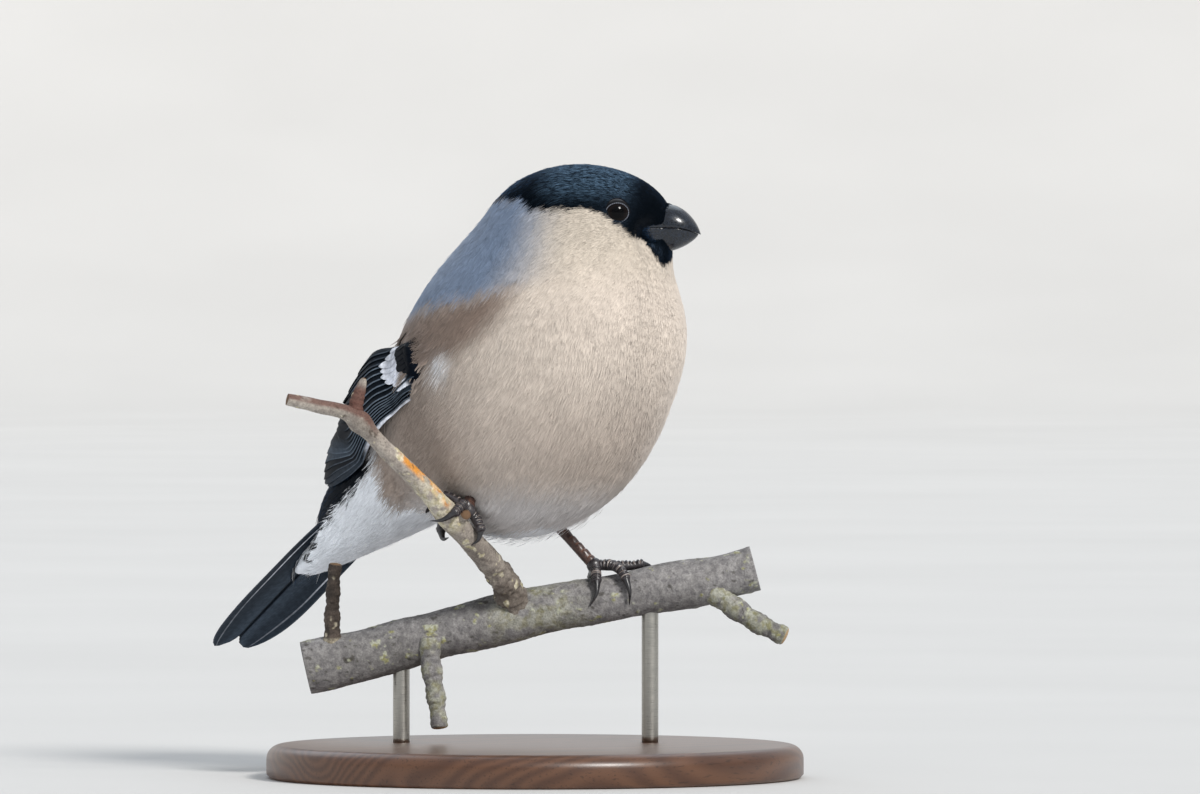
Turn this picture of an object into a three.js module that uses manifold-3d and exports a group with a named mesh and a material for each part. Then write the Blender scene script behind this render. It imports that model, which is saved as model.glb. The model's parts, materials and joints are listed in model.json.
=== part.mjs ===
// A female bullfinch, life size, fluffed up on a cut length of branch that a display stand holds.
// Millimetres, +Z up. The bird faces -Y and its left side is +X. The origin is the middle of the
// underside of the stand's base. The head is turned to the bird's left.
import * as THREE from "three";
import { mergeVertices } from "three/addons/utils/BufferGeometryUtils.js";
import Module from "manifold-3d";

const wasm = await Module();
wasm.setup();

const { Vector3 } = THREE;
const rad = THREE.MathUtils.degToRad;
const { lerp, clamp, smoothstep } = THREE.MathUtils;
const xyz = (x, y, z) => new Vector3(x, y, z);

// Driving sizes
const GAP = 0.3; // between pieces that touch
const TRUNK_HEIGHT = 84; // middle of the trunk above the floor
const HEAD_TURN = 38; // degrees to the bird's left
const HEAD_MIDDLE = xyz(0.5, -14, 32.8); // from the middle of the trunk, as all places on the bird
const VANE = 0.5; // thickness of a feather's vane
const TIER = 0.85; // from one overlapping vane to the next
const EYE_RADIUS = 3.1;
const BILL_LENGTH = 7.45; // from the head's front to the tip
const BILL_HALF_WIDTH = 4.4;
const TOE_RADIUS = 0.85;
const TARSUS_RADIUS = 1.15;
const BRANCH_RADIUS = 5.3;
const TWIG_RADIUS = 2.6;
const BASE_RADIUS = 56;
const BASE_THICKNESS = 7;
const ROD_RADIUS = 1.75;

// The plumage's outline is a soft union of ellipsoids. Each has its middle, its half sizes across,
// along and through the body, and its turn to the left and its pitch up, in degrees.
const BLEND = 2.8;
const HEAD_FORMS = [
  form(HEAD_MIDDLE.toArray(), [12.2, 17, 10.3], HEAD_TURN, 0), // skull
  form([2.7, -17.2, 27], [10.8, 12.2, 10], HEAD_TURN, 0), // cheeks and chin
];
const BODY_FORMS = [
  form([0, 0, -2], [26.5, 33, 28.5], 0, 50), // trunk
  form([1.5, -13, 10], [21.5, 19, 20.5], 10, 50), // breast
  form([0, 10, -10.5], [22.5, 22.5, 20], 0, 38), // belly
  form([0, 8, 9.5], [20.5, 31, 15.5], 0, 50), // mantle
  form([0.8, -7.5, 21.5], [18, 20, 17], 18, 58), // neck
  ...HEAD_FORMS,
  form([0, 29, -13.5], [15, 22, 11.5], 0, 42), // rump
  form([0, 38, -22.5], [11, 19, 7], 0, 31), // vent
  form([0, 51, -31], [6.6, 21, 2.9], 0, 25), // undertail coverts
  form([0, 45, -21.6], [9, 17.5, 4.8], 0, 37.5), // uppertail coverts
];

// Left, back and up directions of a form that faces -Y, turned to its left and pitched up.
function axes(turn, pitch) {
  const [t, p] = [rad(turn), rad(pitch)];
  const forward = xyz(Math.sin(t) * Math.cos(p), -Math.cos(t) * Math.cos(p), Math.sin(p));
  const left = xyz(Math.cos(t), Math.sin(t), 0);
  return [left, forward.clone().negate(), forward.clone().cross(left)];
}

function form(middle, halfSizes, turn, pitch) {
  return { middle: xyz(...middle), halfSizes, axes: axes(turn, pitch) };
}

// Distance from an ellipsoid, negative inside it.
function ellipsoidDistance({ middle, halfSizes, axes: directions }, p) {
  const fromMiddle = p.clone().sub(middle);
  let scaled = 0;
  let scaledTwice = 0;
  directions.forEach((direction, i) => {
    const along = fromMiddle.dot(direction);
    scaled += (along / halfSizes[i]) ** 2;
    scaledTwice += (along / halfSizes[i] ** 2) ** 2;
  });
  const k = Math.sqrt(scaled);
  return (k * (k - 1)) / (Math.sqrt(scaledTwice) + 1e-9);
}

// Distance from the plumage's outline: the ellipsoids' distances joined by a soft minimum.
function bodyDistance(p) {
  const distances = BODY_FORMS.map((f) => ellipsoidDistance(f, p));
  const least = Math.min(...distances);
  const sum = distances.reduce((total, d) => total + Math.exp((least - d) / BLEND), 0);
  return least - BLEND * Math.log(sum);
}

// How far the outline is from a point inside it, in one direction. It is 0 from a point outside.
function reach(from, direction, distance = bodyDistance, farthest = 70) {
  if (distance(from) > 0) return 0;
  let [inside, outside] = [0, farthest];
  for (let i = 0; i < 22; i++) {
    const middle = (inside + outside) / 2;
    if (distance(from.clone().addScaledVector(direction, middle)) < 0) inside = middle;
    else outside = middle;
  }
  return inside;
}

// The spine is one cubic curve from the undertail coverts to the middle of the head.
const SPINE = new THREE.CubicBezierCurve3(
  xyz(0, 64, -37.5),
  xyz(0, 30, -20),
  xyz(0, -8, 0),
  xyz(0.5, -14, 31),
);

// A point of the outline. "along" runs 0 to 1 on the spine, "round" is an angle from the back over
// the left side, and "polar" is 90 degrees in a section across the spine, 0 straight on past the
// head's end, and 180 straight on past the tail's end.
function outlinePoint(along, round, polar = Math.PI / 2, grow = 0) {
  const middle = SPINE.getPoint(along);
  const ahead = SPINE.getTangent(along);
  const left = xyz(1, 0, 0);
  const back = ahead.clone().cross(left).normalize();
  const direction = back
    .multiplyScalar(Math.cos(round) * Math.sin(polar))
    .addScaledVector(left, Math.sin(round) * Math.sin(polar))
    .addScaledVector(ahead, Math.cos(polar))
    .normalize();
  return middle.addScaledVector(direction, reach(middle, direction) + grow);
}

// Solids

function geometryOf(points, faces) {
  const geometry = new THREE.BufferGeometry();
  geometry.setAttribute(
    "position",
    new THREE.Float32BufferAttribute(points.flatMap((p) => p.toArray()), 3),
  );
  geometry.setIndex(faces.flat());
  return geometry;
}

// A closed three.js geometry as a solid that can be joined and cut.
function solidOf(geometry) {
  const bare = new THREE.BufferGeometry().setAttribute("position", geometry.getAttribute("position"));
  bare.setIndex(geometry.index);
  const merged = mergeVertices(bare, 1e-4);
  const make = (index) =>
    new wasm.Manifold(
      new wasm.Mesh({
        numProp: 3,
        vertProperties: new Float32Array(merged.getAttribute("position").array),
        triVerts: new Uint32Array(index),
      }),
    );
  const solid = make(merged.index.array);
  return solid.volume() > 0 ? solid : make(merged.index.array.slice().reverse());
}

// The largest closed surface of a solid, with what a cut left loose or sealed inside dropped.
function largest(solid) {
  return solid.decompose().reduce((a, b) => (b.volume() > a.volume() ? b : a));
}

function joined(solids) {
  return largest(wasm.Manifold.union(solids));
}

// A solid between rings of points. Each end is closed by a fan round its middle point.
function ringSolid(rings, startMiddle, endMiddle) {
  const sides = rings[0].length;
  const points = [startMiddle, ...rings.flat(), endMiddle];
  const at = (ring, side) => 1 + ring * sides + (side % sides);
  const faces = [];
  for (let side = 0; side < sides; side++) {
    faces.push([0, at(0, side + 1), at(0, side)]);
    faces.push([points.length - 1, at(rings.length - 1, side), at(rings.length - 1, side + 1)]);
    for (let ring = 0; ring + 1 < rings.length; ring++) {
      faces.push([at(ring, side), at(ring, side + 1), at(ring + 1, side + 1)]);
      faces.push([at(ring, side), at(ring + 1, side + 1), at(ring + 1, side)]);
    }
  }
  return solidOf(geometryOf(points, faces));
}

// A round limb along a curve, its radius a function of 0 to 1, its ends domed by "dome" of a radius.
function limb(points, radiusAt, { steps = 12, sides = 8, dome = 0.6 } = {}) {
  const curve = new THREE.CatmullRomCurve3(points, false, "centripetal");
  const frames = curve.computeFrenetFrames(steps);
  const rings = [];
  for (let i = 0; i <= steps; i++) {
    const middle = curve.getPointAt(i / steps);
    const radius = radiusAt(i / steps);
    rings.push(
      Array.from({ length: sides }, (_, side) => {
        const angle = (side / sides) * Math.PI * 2;
        return middle
          .clone()
          .addScaledVector(frames.normals[i], Math.cos(angle) * radius)
          .addScaledVector(frames.binormals[i], Math.sin(angle) * radius);
      }),
    );
  }
  const start = curve.getPointAt(0).addScaledVector(frames.tangents[0], -dome * radiusAt(0));
  const end = curve.getPointAt(1).addScaledVector(frames.tangents[steps], dome * radiusAt(1));
  return ringSolid(rings, start, end);
}

// A thin plate over a patch: pointAt(length, across, height), length 0 to 1 and across -1 to 1.
// Both faces are split into triangles alike.
function plate(pointAt, lengths, acrosses, lowAt, highAt) {
  const points = [];
  for (const heightAt of [lowAt, highAt])
    for (const length of lengths)
      for (const across of acrosses) points.push(pointAt(length, across, heightAt(length, across)));
  const [rows, columns] = [lengths.length, acrosses.length];
  const at = (face, row, column) => (face * rows + row) * columns + column;
  const faces = [];
  for (let row = 0; row + 1 < rows; row++)
    for (let column = 0; column + 1 < columns; column++)
      for (const face of [0, 1]) {
        const corner = at(face, row, column);
        const next = at(face, row, column + 1);
        const above = at(face, row + 1, column);
        const opposite = at(face, row + 1, column + 1);
        const pair = [
          [corner, next, opposite],
          [corner, opposite, above],
        ];
        faces.push(...(face ? pair : pair.map((f) => f.toReversed())));
      }
  const wall = (a, b) => {
    const [a1, b1] = [a + rows * columns, b + rows * columns];
    faces.push([a, b, b1], [a, b1, a1]);
  };
  for (let column = 0; column + 1 < columns; column++) {
    wall(at(0, 0, column), at(0, 0, column + 1));
    wall(at(0, rows - 1, column + 1), at(0, rows - 1, column));
  }
  for (let row = 0; row + 1 < rows; row++) {
    wall(at(0, row + 1, 0), at(0, row, 0));
    wall(at(0, row, columns - 1), at(0, row + 1, columns - 1));
  }
  return solidOf(geometryOf(points, faces));
}

const range = (count, from = 0, to = 1) =>
  Array.from({ length: count + 1 }, (_, i) => lerp(from, to, i / count));

// Flesh and plumage: lengths of the outline, parted by thin cuts across the spine

const ROUND_STEPS = 34;
const CUTS = { coverts: 0.36, neck: 0.7, head: 0.845 }; // places on the spine

function bodyLength(from, to, steps, grow = 0) {
  const polar = Math.PI / 2;
  const ringAt = (along, angle = polar) =>
    range(ROUND_STEPS - 1, 0, (2 * Math.PI * (ROUND_STEPS - 1)) / ROUND_STEPS).map((round) =>
      outlinePoint(along, round, angle, grow),
    );
  const CAP_STEPS = 6;
  const rings = range(steps, from, to).map((along) => ringAt(along));
  let [start, end] = [SPINE.getPoint(from), SPINE.getPoint(to)];
  if (from === 0) {
    for (let i = 1; i < CAP_STEPS; i++) rings.unshift(ringAt(0, polar * (1 + i / CAP_STEPS)));
    start = outlinePoint(0, 0, Math.PI, grow);
  }
  if (to === 1) {
    for (let i = 1; i < CAP_STEPS; i++) rings.push(ringAt(1, polar * (1 - i / CAP_STEPS)));
    end = outlinePoint(1, 0, 0, grow);
  }
  return ringSolid(rings, start, end);
}

const halfGap = GAP / 2 / SPINE.getLength();

// Bill: each half has a profile by distance ahead of the head's front, in the head's own frame.

const [headLeft, headBack, headUp] = axes(HEAD_TURN, 0);
const HEAD_REACH = 16.9; // from the head's middle to its front
function onHead(left, ahead, up) {
  return HEAD_MIDDLE.clone()
    .addScaledVector(headLeft, left)
    .addScaledVector(headBack, -(HEAD_REACH + ahead))
    .addScaledVector(headUp, up);
}
const BILL_ROOT = -4;
const BILL_TIP_UP = -3.5; // of the tip, above the head's middle
const billAlong = (ahead) => clamp(ahead / BILL_LENGTH, 0, 1);
// The culmen falls in a quarter of an ellipse, the cutting edge has a slight angle near the gape,
// and the lower edge rises to the tip.
const culmen = (ahead) => BILL_TIP_UP + 6.4 * (1 - billAlong(ahead) ** 2.1) ** 0.72;
const cuttingEdge = (ahead) => BILL_TIP_UP + 0.25 + 1.5 * (1 - billAlong(ahead) ** 3) - 0.3;
const lowerEdge = (ahead) => BILL_TIP_UP - 4.6 * (1 - billAlong(ahead) ** 1.35) ** 0.8;
const billWidth = (ahead) => BILL_HALF_WIDTH * (1 - billAlong(ahead) ** 2.2) ** 0.62;

// Half of the bill: a half ellipse in each section, closed along the cutting edge.
function billHalf(edgeAt, ridgeAt, length, clearance, grow = 0) {
  const STEPS = 9;
  const SIDES = 12;
  const rings = range(STEPS).map((q) => {
    const ahead = lerp(BILL_ROOT - grow, length, Math.sin((q * Math.PI) / 2));
    const [edge, ridge] = [edgeAt(ahead) + clearance, ridgeAt(ahead)];
    const width = Math.max(billWidth(ahead * (BILL_LENGTH / length)), 0.25) + grow;
    const height = Math.abs(ridge - edge) < 0.25 ? 0.25 * Math.sign(clearance) : ridge - edge;
    const full = height + 2 * Math.sign(clearance) * grow;
    const arc = range(SIDES, 0, Math.PI).map((angle) =>
      onHead(width * Math.cos(angle), ahead, edge - Math.sign(clearance) * grow + full * Math.sin(angle)),
    );
    return arc;
  });
  const first = rings[0].reduce((sum, p) => sum.add(p), xyz(0, 0, 0)).divideScalar(SIDES + 1);
  const last = rings[STEPS].reduce((sum, p) => sum.add(p), xyz(0, 0, 0)).divideScalar(SIDES + 1);
  return ringSolid(rings, first, last);
}

function sphere(middle, radius, across = 16, up = 10) {
  const geometry = new THREE.SphereGeometry(radius, across, up);
  geometry.translate(middle.x, middle.y, middle.z);
  return solidOf(geometry);
}

const billUpperWith = (grow) => billHalf(cuttingEdge, culmen, BILL_LENGTH, GAP / 2, grow);
const billLowerWith = (grow) => billHalf(cuttingEdge, lowerEdge, BILL_LENGTH - 0.5, -GAP / 2, grow);
const NOSTRIL = { ahead: 0.9, up: 0.7, left: 3.4, radius: 0.75 };

function billUpper() {
  const pits = [-1, 1].map((side) =>
    sphere(onHead(side * NOSTRIL.left, NOSTRIL.ahead, NOSTRIL.up), NOSTRIL.radius, 10, 8),
  );
  return largest(billUpperWith(0).subtract(wasm.Manifold.union(pits)));
}

// Eyes: a ball set into the head, its lids a raised ring round it.

const EYE_DIRECTION = { left: 12.56, ahead: 8.63, up: 1.16 }; // from the head's middle
const EYE_STANDS_OUT = 0.9;
const LID_RADIUS = 2.45;
const LID_THICKNESS = 0.45;

function eyePlace(side) {
  const direction = headLeft
    .clone()
    .multiplyScalar(side * EYE_DIRECTION.left)
    .addScaledVector(headBack, -EYE_DIRECTION.ahead)
    .addScaledVector(headUp, EYE_DIRECTION.up)
    .normalize();
  const surface = HEAD_MIDDLE.clone().addScaledVector(direction, reach(HEAD_MIDDLE, direction));
  const outward = headLeft.clone().multiplyScalar(side).addScaledVector(headBack, -0.28).normalize();
  const middle = surface.clone().addScaledVector(outward, EYE_STANDS_OUT - EYE_RADIUS);
  return { middle, outward };
}

function lidRing(side, grow = 0) {
  const { middle, outward } = eyePlace(side);
  const ring = new THREE.TorusGeometry(LID_RADIUS + 0.25, LID_THICKNESS + grow, 5, 16);
  ring.scale(1.06, 0.88, 1);
  const turn = new THREE.Quaternion().setFromUnitVectors(xyz(0, 0, 1), outward);
  ring.applyQuaternion(turn);
  const seat = middle.clone().addScaledVector(outward, EYE_RADIUS - EYE_STANDS_OUT - 0.05);
  ring.translate(seat.x, seat.y, seat.z);
  return solidOf(ring);
}

function head() {
  let solid = bodyLength(CUTS.head + halfGap, 1, 8);
  for (const side of [-1, 1]) solid = solid.add(lidRing(side));
  for (const side of [-1, 1]) solid = solid.subtract(sphere(eyePlace(side).middle, EYE_RADIUS + GAP));
  return largest(solid.subtract(billUpperWith(GAP)).subtract(billLowerWith(GAP)));
}

// Wings, folded. Feathers lie on a surface round a straight line in the bird's middle plane, from
// past the wing tips forward to the shoulders. "from tip" is millimetres along that line.

const WING_LINE = { rear: xyz(0, 62, -27), pitch: 27 };
const [, wingBack, wingUp] = axes(0, WING_LINE.pitch);
const WING_TIP = 9;
const LOWER_EDGE = 97; // degrees from the top of the line to the wing's lower edge
const wingHalfWidth = (fromTip) => 26 - 0.0089 * Math.max(53.9 - fromTip, 0) ** 2;
const wingTop = (fromTip) => 3 + 0.42 * Math.max(fromTip - WING_TIP, 0);
const FREE_UNTIL = 48; // from here forward the wing lies on the plumage alone

// A point of the wing, "up" millimetres from its lower edge towards the back and "height" off it.
function wingPoint(side, fromTip, up, height) {
  const halfWidth = wingHalfWidth(fromTip);
  const angle = rad(LOWER_EDGE) - up / halfWidth;
  const direction = wingUp
    .clone()
    .multiplyScalar(Math.cos(angle))
    .addScaledVector(xyz(side, 0, 0), Math.sin(angle));
  const middle = WING_LINE.rear.clone().addScaledVector(wingBack, -fromTip);
  const own =
    (1 - 0.4 * smoothstep(fromTip, FREE_UNTIL, FREE_UNTIL + 16)) /
    Math.hypot(Math.sin(angle) / halfWidth, Math.cos(angle) / wingTop(fromTip));
  const body = reach(middle, direction) + 0.7;
  const SOFT = 0.6;
  const radius = SOFT * Math.log(Math.exp(own / SOFT) + Math.exp(body / SOFT));
  return middle.addScaledVector(direction, radius + height);
}

const PRIMARIES = 6;
const SECONDARIES = 4;
const TERTIALS = 3;
const COVERTS = 8;
const LAST_PRIMARY = PRIMARIES - 0.5;
// Spacing of the folded feathers: tight among the primaries, wider among the others.
const primarySpacing = (fromTip) => lerp(2, 1.3, clamp((fromTip - 30) / 30, 0, 1));
const innerSpacing = (fromTip) => lerp(2.6, 2.4, clamp((fromTip - 30) / 30, 0, 1));
function upOf(index, fromTip) {
  const outer = Math.min(index, LAST_PRIMARY) * primarySpacing(fromTip);
  return outer + Math.max(index - LAST_PRIMARY, 0) * innerSpacing(fromTip);
}
function indexAt(up, fromTip) {
  const outer = LAST_PRIMARY * primarySpacing(fromTip);
  if (up < outer) return up / primarySpacing(fromTip);
  return LAST_PRIMARY + (up - outer) / innerSpacing(fromTip);
}

// A feather's half width along its length: narrow at the root, full in its middle, round at its tip.
const ROUND_FROM = 0.72;
function vaneWidth(q) {
  const root = lerp(0.5, 1, smoothstep(q, 0, 0.35));
  const past = clamp((q - ROUND_FROM) / (1 - ROUND_FROM), 0, 0.985);
  return root * Math.sqrt(1 - past * past);
}
const LOWEST_TIER = 0.45; // no vane dips into the plumage below it
const VANE_STEPS = [0, 0.25, 0.5, 0.74, 0.91, 1];
const vaneEdge = (q) => (VANE / 2) * lerp(1, 0.6, smoothstep(q, 0.8, 1));

// The outer feathers lie lowest, and each further in lies over the one before it.
function flightFeather(side, index, tip, root, halfWidth) {
  const pointAt = (q, across, height) => {
    const fromTip = lerp(root, tip, q);
    const up = upOf(index, fromTip) - across * halfWidth * vaneWidth(q);
    const tier = Math.max(0.8 + TIER * (index - indexAt(up, fromTip)), LOWEST_TIER);
    return wingPoint(side, fromTip, up, tier + height);
  };
  return plate(pointAt, VANE_STEPS, [-1, 1], (q) => -vaneEdge(q), vaneEdge);
}

function covert(side, index, tip, root, halfWidth) {
  const SPACING = 2.85;
  const middle = 0.5 + index * SPACING;
  const pointAt = (q, across, height) => {
    const up = middle - across * halfWidth * vaneWidth(q);
    const tier = Math.max(2.8 + TIER * (index - (up - 0.5) / SPACING), LOWEST_TIER);
    const settled = lerp(1.2, tier, smoothstep(q, 0, 0.3));
    return wingPoint(side, lerp(root, tip, q), up, settled + height);
  };
  const steps = [0, 0.45, 0.8, 1];
  return plate(pointAt, steps, [-1, 1], (q) => -vaneEdge(q), vaneEdge);
}

// The arm with its small coverts, a low mound that every feather of the wing is rooted in.
function wingArm(side) {
  const [FRONT, REAR, TOP, BOTTOM] = [69, 55, 23, -1];
  const pointAt = (q, across, height) =>
    wingPoint(side, lerp(FRONT, REAR, q), lerp(BOTTOM, TOP, (across + 1) / 2), height);
  const moundAt = (q, across) =>
    0.1 + 2.3 * Math.sqrt(smoothstep(q, -0.05, 0.6)) * Math.sqrt(Math.max(1 - across ** 6, 0));
  return plate(pointAt, range(4), range(7, -1, 1), () => -0.65, moundAt);
}

function primaryTip(index) {
  const past = index - 2; // the third feather is the longest
  return WING_TIP + 0.5 + (past < 0 ? past ** 2 : 1.05 * past ** 2 + 1.6 * past);
}
const secondaryTip = (index) => 30 + 1.6 * index;
const tertialTip = (index) => 33.5 + 6 * index;

function wing(side) {
  const ROOT = 62;
  const pieces = [wingArm(side)];
  for (let i = 0; i < PRIMARIES; i++) pieces.push(flightFeather(side, i, primaryTip(i), ROOT, 2.6));
  for (let i = 0; i < SECONDARIES; i++)
    pieces.push(flightFeather(side, PRIMARIES + i, secondaryTip(i), ROOT, 3.5));
  for (let i = 0; i < TERTIALS; i++)
    pieces.push(flightFeather(side, PRIMARIES + SECONDARIES + i, tertialTip(i), ROOT, 3.8));
  for (let i = 0; i < COVERTS; i++) pieces.push(covert(side, i, i < 2 ? 54 : 49, 65, 2.8));
  return joined(pieces).subtract(bodyNear);
}

// Tail: six feathers a side in a low roof, the middle pair on top and the outer ones longest.

const TAIL = { root: xyz(0, 44, -21), pitch: -36, roll: 5, length: 57.5, halfWidth: 9.7 };
const [tailLeft, , tailUp] = axes(0, -TAIL.pitch);
const tailAlong = xyz(0, Math.cos(rad(TAIL.pitch)), Math.sin(rad(TAIL.pitch)));
const TAIL_PAIRS = 6;

function tailPoint(along, left, height) {
  const roll = rad(TAIL.roll) * smoothstep(along, 0, 20);
  const across = tailLeft.clone().multiplyScalar(Math.cos(roll)).addScaledVector(tailUp, -Math.sin(roll));
  const up = tailUp.clone().multiplyScalar(Math.cos(roll)).addScaledVector(tailLeft, Math.sin(roll));
  return TAIL.root
    .clone()
    .addScaledVector(tailAlong, along)
    .addScaledVector(across, left)
    .addScaledVector(up, height);
}

function tailFeather(side, pair) {
  const outer = TAIL.halfWidth - 0.75 * (TAIL_PAIRS - 1 - pair);
  const inner = 0.2;
  const length = TAIL.length - 0.85 * (TAIL_PAIRS - 1 - pair);
  const pointAt = (q, across, height) => {
    const edge = lerp(0.9, 1, q) * Math.sqrt(1 - clamp((q - 0.86) / 0.14, 0, 0.985) ** 2);
    const middle = lerp(inner, outer, 0.62);
    const left = across < 0 ? middle - (middle - inner) * edge : middle + (outer - middle) * edge;
    const droop = -0.012 * left * left;
    return tailPoint(lerp(-3, length, q), side * left, droop - TIER * pair + height);
  };
  return plate(pointAt, VANE_STEPS, [-1, 1], (q) => -vaneEdge(q), vaneEdge);
}

// The block that holds the tail feathers' roots.
function tailRoot(grow = 0) {
  const bottom = -(TAIL_PAIRS - 1) * TIER - 1.2;
  const pointAt = (q, across, height) => tailPoint(lerp(-8 - grow, 3 + grow, q), across * (6 + grow), height);
  return plate(pointAt, [0, 0.35, 1], [-1, 0, 1], () => bottom - grow, () => 0.6 + grow);
}

function tail() {
  const pieces = [tailRoot()];
  for (let pair = 0; pair < TAIL_PAIRS; pair++)
    for (const side of [-1, 1]) pieces.push(tailFeather(side, pair));
  return joined(pieces);
}

// The space that the tail takes between the coverts above and below it.
function tailSlot() {
  const bottom = -(TAIL_PAIRS - 1) * TIER - 1.4 - GAP;
  const pointAt = (q, across, height) =>
    tailPoint(lerp(-3.5, TAIL.length, q), across * (TAIL.halfWidth + 0.6), height);
  const slot = plate(pointAt, range(2), range(2, -1, 1), () => bottom, () => VANE / 2 + GAP);
  return slot.add(tailRoot(GAP));
}

function tailCoverts() {
  return largest(bodyLength(0, CUTS.coverts - halfGap, 9).subtract(tailSlot()));
}

// Perch. It is placed in the frame of a plane that stands across it: "across" runs along the
// branch, and "deep" is the level distance behind that plane.

function onPerch(across, deep, up) {
  return xyz((across + deep) * Math.SQRT1_2, (deep - across) * Math.SQRT1_2, up);
}
const BRANCH_DEEP = 10;
const BRANCH_PATH = [
  [-48, -61.5],
  [-36, -58.8],
  [-22, -55],
  [-8, -51.4],
  [4, -48.8],
  [14, -47.1],
  [26, -44.8],
  [36, -43.2],
  [46, -40.6],
].map(([across, up]) => onPerch(across, BRANCH_DEEP, up));
const branchCurve = new THREE.CatmullRomCurve3(BRANCH_PATH, false, "centripetal");
const branchRadius = (q) =>
  BRANCH_RADIUS * (1.02 - 0.12 * q + 0.035 * Math.sin(17 * q) + 0.025 * Math.sin(31 * q + 1));

function branch(grow = 0) {
  return limb(BRANCH_PATH, (q) => branchRadius(q) + grow, { steps: 22, sides: 14, dome: 0.02 });
}

const TWIG_PATH = [
  onPerch(-4.2, 9, -49.5),
  onPerch(-6.5, 3.5, -43.5),
  onPerch(-10.2, -4, -38),
  onPerch(-16.7, -13.5, -30.4),
  onPerch(-22.9, -18.5, -22.9),
  onPerch(-31.3, -22, -14.6),
  onPerch(-38.1, -25, -7.8),
  onPerch(-44.5, -26.5, -6.1),
  onPerch(-51, -28, -4.6),
];
const twigRadius = (q) =>
  TWIG_RADIUS * (1.12 - 0.62 * q + 0.14 * Math.exp(-(((q - 0.45) / 0.05) ** 2)) +
    0.3 * Math.exp(-(((q - 0.8) / 0.03) ** 2)));

function twig(grow = 0) {
  return limb(TWIG_PATH, (q) => twigRadius(q) + grow, { steps: 24, sides: 9, dome: 0.02 });
}

// Short side shoots: each starts in the branch or twig and is cut clear of it.
const SHOOTS = {
  perch_spur: { path: [[-42.3, -57], [-42.4, -50], [-42.1, -43.5], [-41.7, -39.8]], deep: 8, radius: 1.75 },
  perch_stub_low: { path: [[-22, -55], [-21.6, -62], [-20.6, -68], [-20, -73.5]], deep: 6, radius: 2.1 },
  perch_stub_end: { path: [[37, -45], [42, -49], [47.5, -52.5], [52, -54.6]], deep: 8, radius: 2.3 },
};
function shoot({ path, deep, radius }) {
  const points = path.map(([across, up], i) => onPerch(across, deep - 0.4 * i, up));
  const radiusAt = (q) => radius * (1.1 - 0.3 * q + 0.08 * Math.sin(21 * q));
  return largest(limb(points, radiusAt, { steps: 8, sides: 8, dome: 0.3 }).subtract(branch(GAP)));
}

// The bud and the cut stub stand on the twig.
function twigBud() {
  const points = [onPerch(-38.5, -24, -9), onPerch(-37.2, -24.5, -4), onPerch(-35.8, -25, 0)];
  return limb(points, (q) => 1.75 * Math.sqrt(1.02 - q) + 0.25, { steps: 7, sides: 8 });
}
function twigStub(grow = 0) {
  const points = [onPerch(-16.2, -12.5, -30), onPerch(-14.4, -16.2, -28.7)];
  return limb(points, () => 1.15 + grow, { steps: 2, sides: 8, dome: 0.1 });
}
function perchTwig() {
  return largest(joined([twig(), twigBud(), twigStub()]).subtract(branch(GAP)));
}

// Legs and feet. A toe runs over the bark at its own radius plus the gap, then ends in a claw.

// A point over the bark: q on the perch's curve, an angle from its top towards the viewer's side.
function overBark(curve, radiusAt, q, angle, height) {
  const middle = curve.getPoint(q);
  const ahead = curve.getTangent(q);
  const near = ahead.clone().cross(xyz(0, 0, 1)).normalize();
  const top = near.clone().cross(ahead).normalize();
  return middle
    .addScaledVector(top, Math.cos(rad(angle)) * (radiusAt(q) + height))
    .addScaledVector(near, Math.sin(rad(angle)) * (radiusAt(q) + height));
}

// Toe stops: [place on the curve, angle, height above the bark over the gap and the toe's radius].
function toe(pad, curve, radiusAt, stops, clawStops, grow = 0) {
  const place = (radius) => ([q, angle, extra]) =>
    overBark(curve, radiusAt, q, angle, GAP + radius + extra);
  const path = [pad, ...stops.map(place(TOE_RADIUS))];
  const knuckle = (q) => TOE_RADIUS * (1.04 - 0.14 * q + 0.07 * Math.cos(q * 6 * Math.PI)) + grow;
  const clawPath = [path.at(-1), ...clawStops.map(place(0.35))];
  return joined([
    limb(path, knuckle, { steps: 6, sides: 6 }),
    limb(clawPath, (q) => lerp(0.72, 0.12, q ** 0.8) + grow, { steps: 5, sides: 5 }),
  ]);
}

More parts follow.
